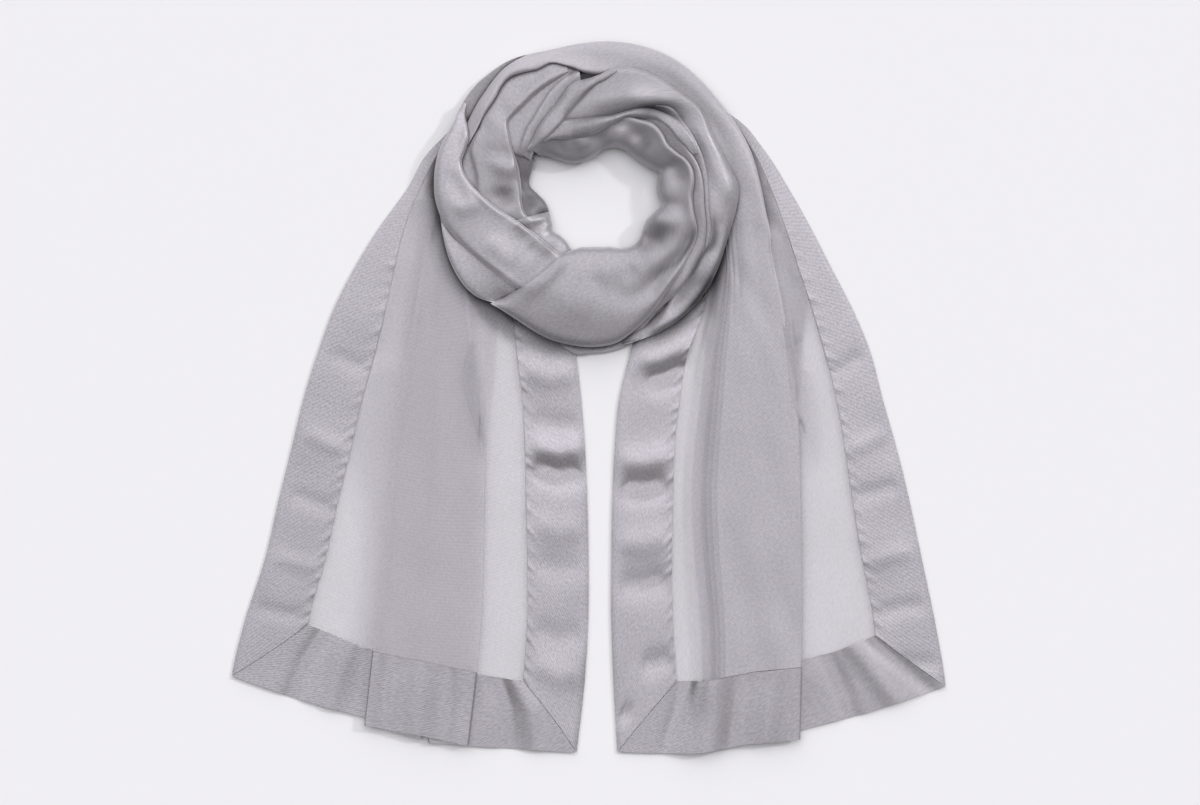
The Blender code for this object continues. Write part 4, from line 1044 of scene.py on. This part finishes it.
def cloth_material(name, base, roughness, alpha, sheen, grain, relief_mm, threads, shine):
    """Woven cloth: threads that cross at 45 degrees, an uneven grain and a soft sheen."""
    made, tree, shader = new_material(name)
    place = tree.nodes.new("ShaderNodeTexCoord").outputs["UV"]
    fine = add_node(tree, "TexNoise", {"Vector": place, "Scale": 330.0, "Detail": 2.0})
    slow = add_node(tree, "TexNoise", {"Vector": place, "Scale": 16.0, "Detail": 3.0})
    bands = {"Scale": threads, "Distortion": 3.0, "Detail": 1.0, "Detail Scale": 2.0}
    weave = add_node(tree, "TexWave", {"Vector": place, **bands})
    weave.wave_type = "BANDS"
    weave.bands_direction = "DIAGONAL"
    mix = {0: weave.outputs["Fac"], 1: 0.2, 2: fine.outputs["Fac"]}
    thread = add_node(tree, "Math", mix, "MULTIPLY_ADD").outputs[0]
    ramp = map_range(tree, thread, 0.3, 0.9, 1.0 - grain, 1.0 + grain)
    swing = map_range(tree, slow.outputs["Fac"], 0.3, 0.7, 0.96, 1.04)
    pair = {0: ramp.outputs["Result"], 1: swing.outputs["Result"]}
    varied = add_node(tree, "Math", pair, "MULTIPLY")
    # The mesh's painted shade and painted light darken or lighten the cloth's colour.
    painted_shading_input = tree.nodes.new("ShaderNodeAttribute")
    painted_shading_input.attribute_name = "tone_and_painted_shading"
    pair = {0: varied.outputs[0], 1: painted_shading_input.outputs["Fac"]}
    tone_and_painted_shading = add_node(tree, "Math", pair, "MULTIPLY")
    colour = add_node(tree, "VectorMath", {0: base, "Scale": tone_and_painted_shading.outputs[0]}, "SCALE")
    bump = {"Strength": 1.0, "Distance": relief_mm * MM, "Height": thread}
    relief = add_node(tree, "Bump", bump)
    looks = {
        "Base Color": colour.outputs[0],
        "Roughness": roughness,
        "Alpha": alpha,
        "Metallic": shine,
        "Sheen Weight": sheen,
        "Sheen Roughness": 0.45,
        "Specular IOR Level": 0.3 + shine,
        "Normal": relief.outputs["Normal"],
    }
    set_inputs(tree, shader, looks)
    if alpha < 1:
        # Sheer cloth grows more opaque where painted shade lies, so the painted shade also darkens
        # what shows through it.
        cover = map_range(tree, painted_shading_input.outputs["Fac"], 0.3, 0.95, min(1.0, alpha + 0.45), alpha)
        tree.links.new(cover.outputs["Result"], shader.inputs["Alpha"])
    return made


def plain_material(name, base, roughness):
    made, tree, shader = new_material(name)
    looks = {"Base Color": (*base, 1.0), "Roughness": roughness, "Specular IOR Level": 0.2}
    set_inputs(tree, shader, looks)
    return made


def soft_light(name, bearing, elevation, softness, strength):
    """Even light from one side. Bearing is counterclockwise from +X, all angles in degrees."""
    data = bpy.data.lights.new(name, "SUN")
    data.angle = math.radians(softness)
    data.energy = strength
    lamp = bpy.data.objects.new(name, data)
    bpy.context.scene.collection.objects.link(lamp)
    lamp.rotation_euler = (0, math.radians(90 - elevation), math.radians(bearing))


def room_light():
    """A pale room that is brightest high up towards the back."""
    world = bpy.data.worlds.new("room")
    bpy.context.scene.world = world
    world.use_nodes = True
    tree = world.node_tree
    place = tree.nodes.new("ShaderNodeTexCoord")
    bearing, elevation = math.radians(92), math.radians(50)
    flat = math.cos(elevation)
    window = (flat * math.cos(bearing), flat * math.sin(bearing), math.sin(elevation))
    pair = {0: place.outputs["Generated"], 1: window}
    facing = add_node(tree, "VectorMath", pair, "DOT_PRODUCT")
    bright = map_range(tree, facing.outputs["Value"], 0.3, 1.0, 0.16, 1.87)
    bright.interpolation_type = "SMOOTHSTEP"
    glow = {"Color": (0.985, 0.975, 1.0, 1.0), "Strength": bright.outputs["Result"]}
    set_inputs(tree, tree.nodes["Background"], glow)


def studio():
    """A pale surface, room light, a lamp to the right and a camera straight above."""
    signs = ((-1, -1), (1, -1), (1, 1), (-1, 1))
    corners = [(right * FLOOR, back * FLOOR, -0.0005) for right, back in signs]
    mesh = bpy.data.meshes.new("surface")
    mesh.from_pydata(corners, [], [(0, 1, 2, 3)])
    floor = bpy.data.objects.new("surface", mesh)
    mesh.materials.append(plain_material("pale_surface", (0.87, 0.865, 0.88), 0.8))
    bpy.context.scene.collection.objects.link(floor)
    room_light()
    soft_light("side_lamp", bearing=26, elevation=30, softness=4, strength=0.82)
    data = bpy.data.cameras.new("camera")
    data.lens = LENS_MM
    data.sensor_width = SENSOR_MM
    camera = bpy.data.objects.new("camera", data)
    bpy.context.scene.collection.objects.link(camera)
    camera.location = (0.011, -0.003, VIEW_WIDTH * LENS_MM / SENSOR_MM)
    bpy.context.scene.camera = camera
    bpy.context.scene.view_settings.view_transform = "Standard"


def columns_at(grid, count):
    """The same surface with evenly spread columns."""
    found = np.zeros((len(grid), count, 3))
    for i, row in enumerate(grid):
        reach = walked(row, 0)
        at = np.linspace(0, reach[-1], count)
        for axis in range(3):
            found[i, :, axis] = np.interp(at, reach, row[:, axis])
    return found


def overlay_grid(field, table):
    """A further sheer layer laid on what is there."""
    rows = np.array(table, float)[::-1]
    ys = np.linspace(rows[0, 0], rows[-1, 0], OVERLAY_ROWS)
    left = smooth_line(rows[:, 0], rows[:, 1], ys)
    right = smooth_line(rows[:, 0], rows[:, 2], ys)
    share = np.linspace(0, 1, OVERLAY_COLUMNS)
    grid = np.zeros((OVERLAY_ROWS, OVERLAY_COLUMNS, 3))
    grid[..., 0] = left[:, None] + (right - left)[:, None] * share
    grid[..., 1] = ys[:, None]
    need = field.needed()[field.cells(grid[..., 0], grid[..., 1])]
    grid[..., 2] = need
    for _ in range(12):
        inner = grid[1:-1, 1:-1, 2]
        near = grid[2:, 1:-1, 2] + grid[:-2, 1:-1, 2] + grid[1:-1, 2:, 2] + grid[1:-1, :-2, 2]
        grid[1:-1, 1:-1, 2] = np.maximum(0.5 * inner + 0.125 * near, need[1:-1, 1:-1])
    return grid


def joined_wrap(top_layer, band):
    """The pleat's top layer led up into the outer band of the loop as one cloth."""
    count = band.shape[1]
    layer = columns_at(top_layer, count)
    start = band[0]
    keep = int(np.argmax(layer[:, :, 1].max(axis=1) < start[:, 1].min() - 2.0))
    layer = layer[keep:]
    fade = np.clip(1 - np.arange(len(layer)) / BLEND_ROWS, 0, 1)
    fade = ease(fade)[:, None]
    layer[..., 0] += (start[:, 0] - layer[0, :, 0]) * fade
    layer[..., 2] += (start[:, 2] - layer[0, :, 2]) * fade
    return layer[::-1], band


def softened(height, step, passes):
    """The height field blurred. Each pass mixes in the cells that are step cells away."""
    for _ in range(passes):
        near = np.roll(height, step, 0) + np.roll(height, -step, 0)
        near = near + np.roll(height, step, 1) + np.roll(height, -step, 1)
        height = 0.2 * height + 0.2 * near
    return height


def paint_fold_shade(field, tail_height):
    """Paints shade into cloth close under a higher fold, and a painted shadow onto the tails beside
    the thick of the loop.
    """
    close = softened(field.height, step=1, passes=12)
    thick = np.where(field.height > tail_height + 4, field.height, 0)
    wide = softened(thick, step=3, passes=30)
    for item in bpy.data.objects:
        if item.type != "MESH" or "tone_and_painted_shading" not in item.data.attributes:
            continue
        count = len(item.data.vertices)
        points = np.zeros(count * 3)
        item.data.vertices.foreach_get("co", points)
        points = points.reshape(-1, 3) / MM
        here = field.cells(points[:, 0], points[:, 1])
        # The tails get a painted shadow beside the thick of the loop; the loop gets painted shade
        # under higher folds.
        if item.name.startswith(("left_chiffon", "right_chiffon")) or "satin" in item.name:
            most = OUTER_SATIN_SHADE if "outer_satin" in item.name else TAIL_SHADE
            painted_shade = most * np.clip((wide[here] - 0.5) / 7, 0, 1)
        else:
            painted_shade = LOOP_SHADE * np.clip((close[here] - points[:, 2] - 0.4) / 4.5, 0, 1)
        tones = np.zeros(count)
        item.data.attributes["tone_and_painted_shading"].data.foreach_get("value", tones)
        item.data.attributes["tone_and_painted_shading"].data.foreach_set("value", tones * (1 - painted_shade))


def build():
    """Lays the tails, then the loop on them, and paints shade into the cloth by what lies beside it.
    """
    cloths = {
        name: cloth_material(name, base * LILAC, *looks) for name, (base, *looks) in CLOTHS.items()
    }
    sheer, wound, highlight_rim = cloths["sheer_chiffon"], cloths["wound_chiffon"], cloths["painted_highlight_rim"]
    dense = [cloths[f"dense_chiffon_{k}"] for k in range(1, 5)]
    field = Field()
    tails = {**left_tail(), **right_tail()}
    top_layer = None
    for name, (points, places) in tails.items():
        points = dress_tail(name, points)
        field.lay(points.reshape(-1, 3), grid_triangles(*points.shape[:2]))
        slot = "satin" if name.endswith("satin") else "chiffon"
        grids = [(points, 0)]
        if name == "right_chiffon":
            first, last = (places[stop_number] for stop_number in TOP_LAYER)
            top_layer = points[:, first : last + 1]
            grids = [(points[:, : first + 1], 0), (points[:, last:], 0)]
        for table in OVERLAYS.get(name, []):
            # The wedge and the dark fold take the denser chiffon: more layers lie there, and part of
            # its darkness is painted shade.
            doubled_and_shaded = table in (RIGHT_WEDGE, LEFT_DARK_FOLD)
            grids.append((overlay_grid(field, table), int(doubled_and_shaded)))
        shaders = [sheer, dense[1]]
        if slot == "satin":
            # The hems take the darker satin, which is painted shade.
            shaders = [cloths["hem_satin" if "hem" in name else "satin"]]
        cloth_object(name, grids, shaders, [name], slot == "satin")
    tail_height = field.height.copy()
    core_height(field)
    for row in STRETCHES:
        name = row[0]
        points = stretch_grid(field, *row)
        if name == "back_outer_band":
            tail, band = joined_wrap(top_layer, points)
            whole = np.concatenate([tail, band])
            # The cloth grows denser over the first columns of the tail.
            kind = np.full((len(whole) - 1, whole.shape[1] - 1), 3)
            kind[: len(tail) - 1, :3] = [0, 1, 2]
            grids = [(whole, kind)]
            cloth_object(name, grids, dense, [name], False)
            continue
        kind = np.zeros((len(points) - 1, points.shape[1] - 1), int)
        # The first and last column, along the fold edges, take the lighter rim chiffon: a painted
        # highlight.
        if not name.endswith("under_fold"):
            kind[:, 0] = 1
            kind[:, -1] = 1
        # The panel inside the opening takes the darker chiffon: painted shade.
        skin = cloths["painted_shade_inner_chiffon"] if name == "inside_left_panel" else wound
        cloth_object(name, [(points, kind)], [skin, highlight_rim], [name])
    paint_fold_shade(field, tail_height)
    for item in bpy.data.objects:
        if item.name.startswith("loop_core") and item.type == "MESH":
            item.data.materials.clear()
            item.data.materials.append(wound)


build()
studio()
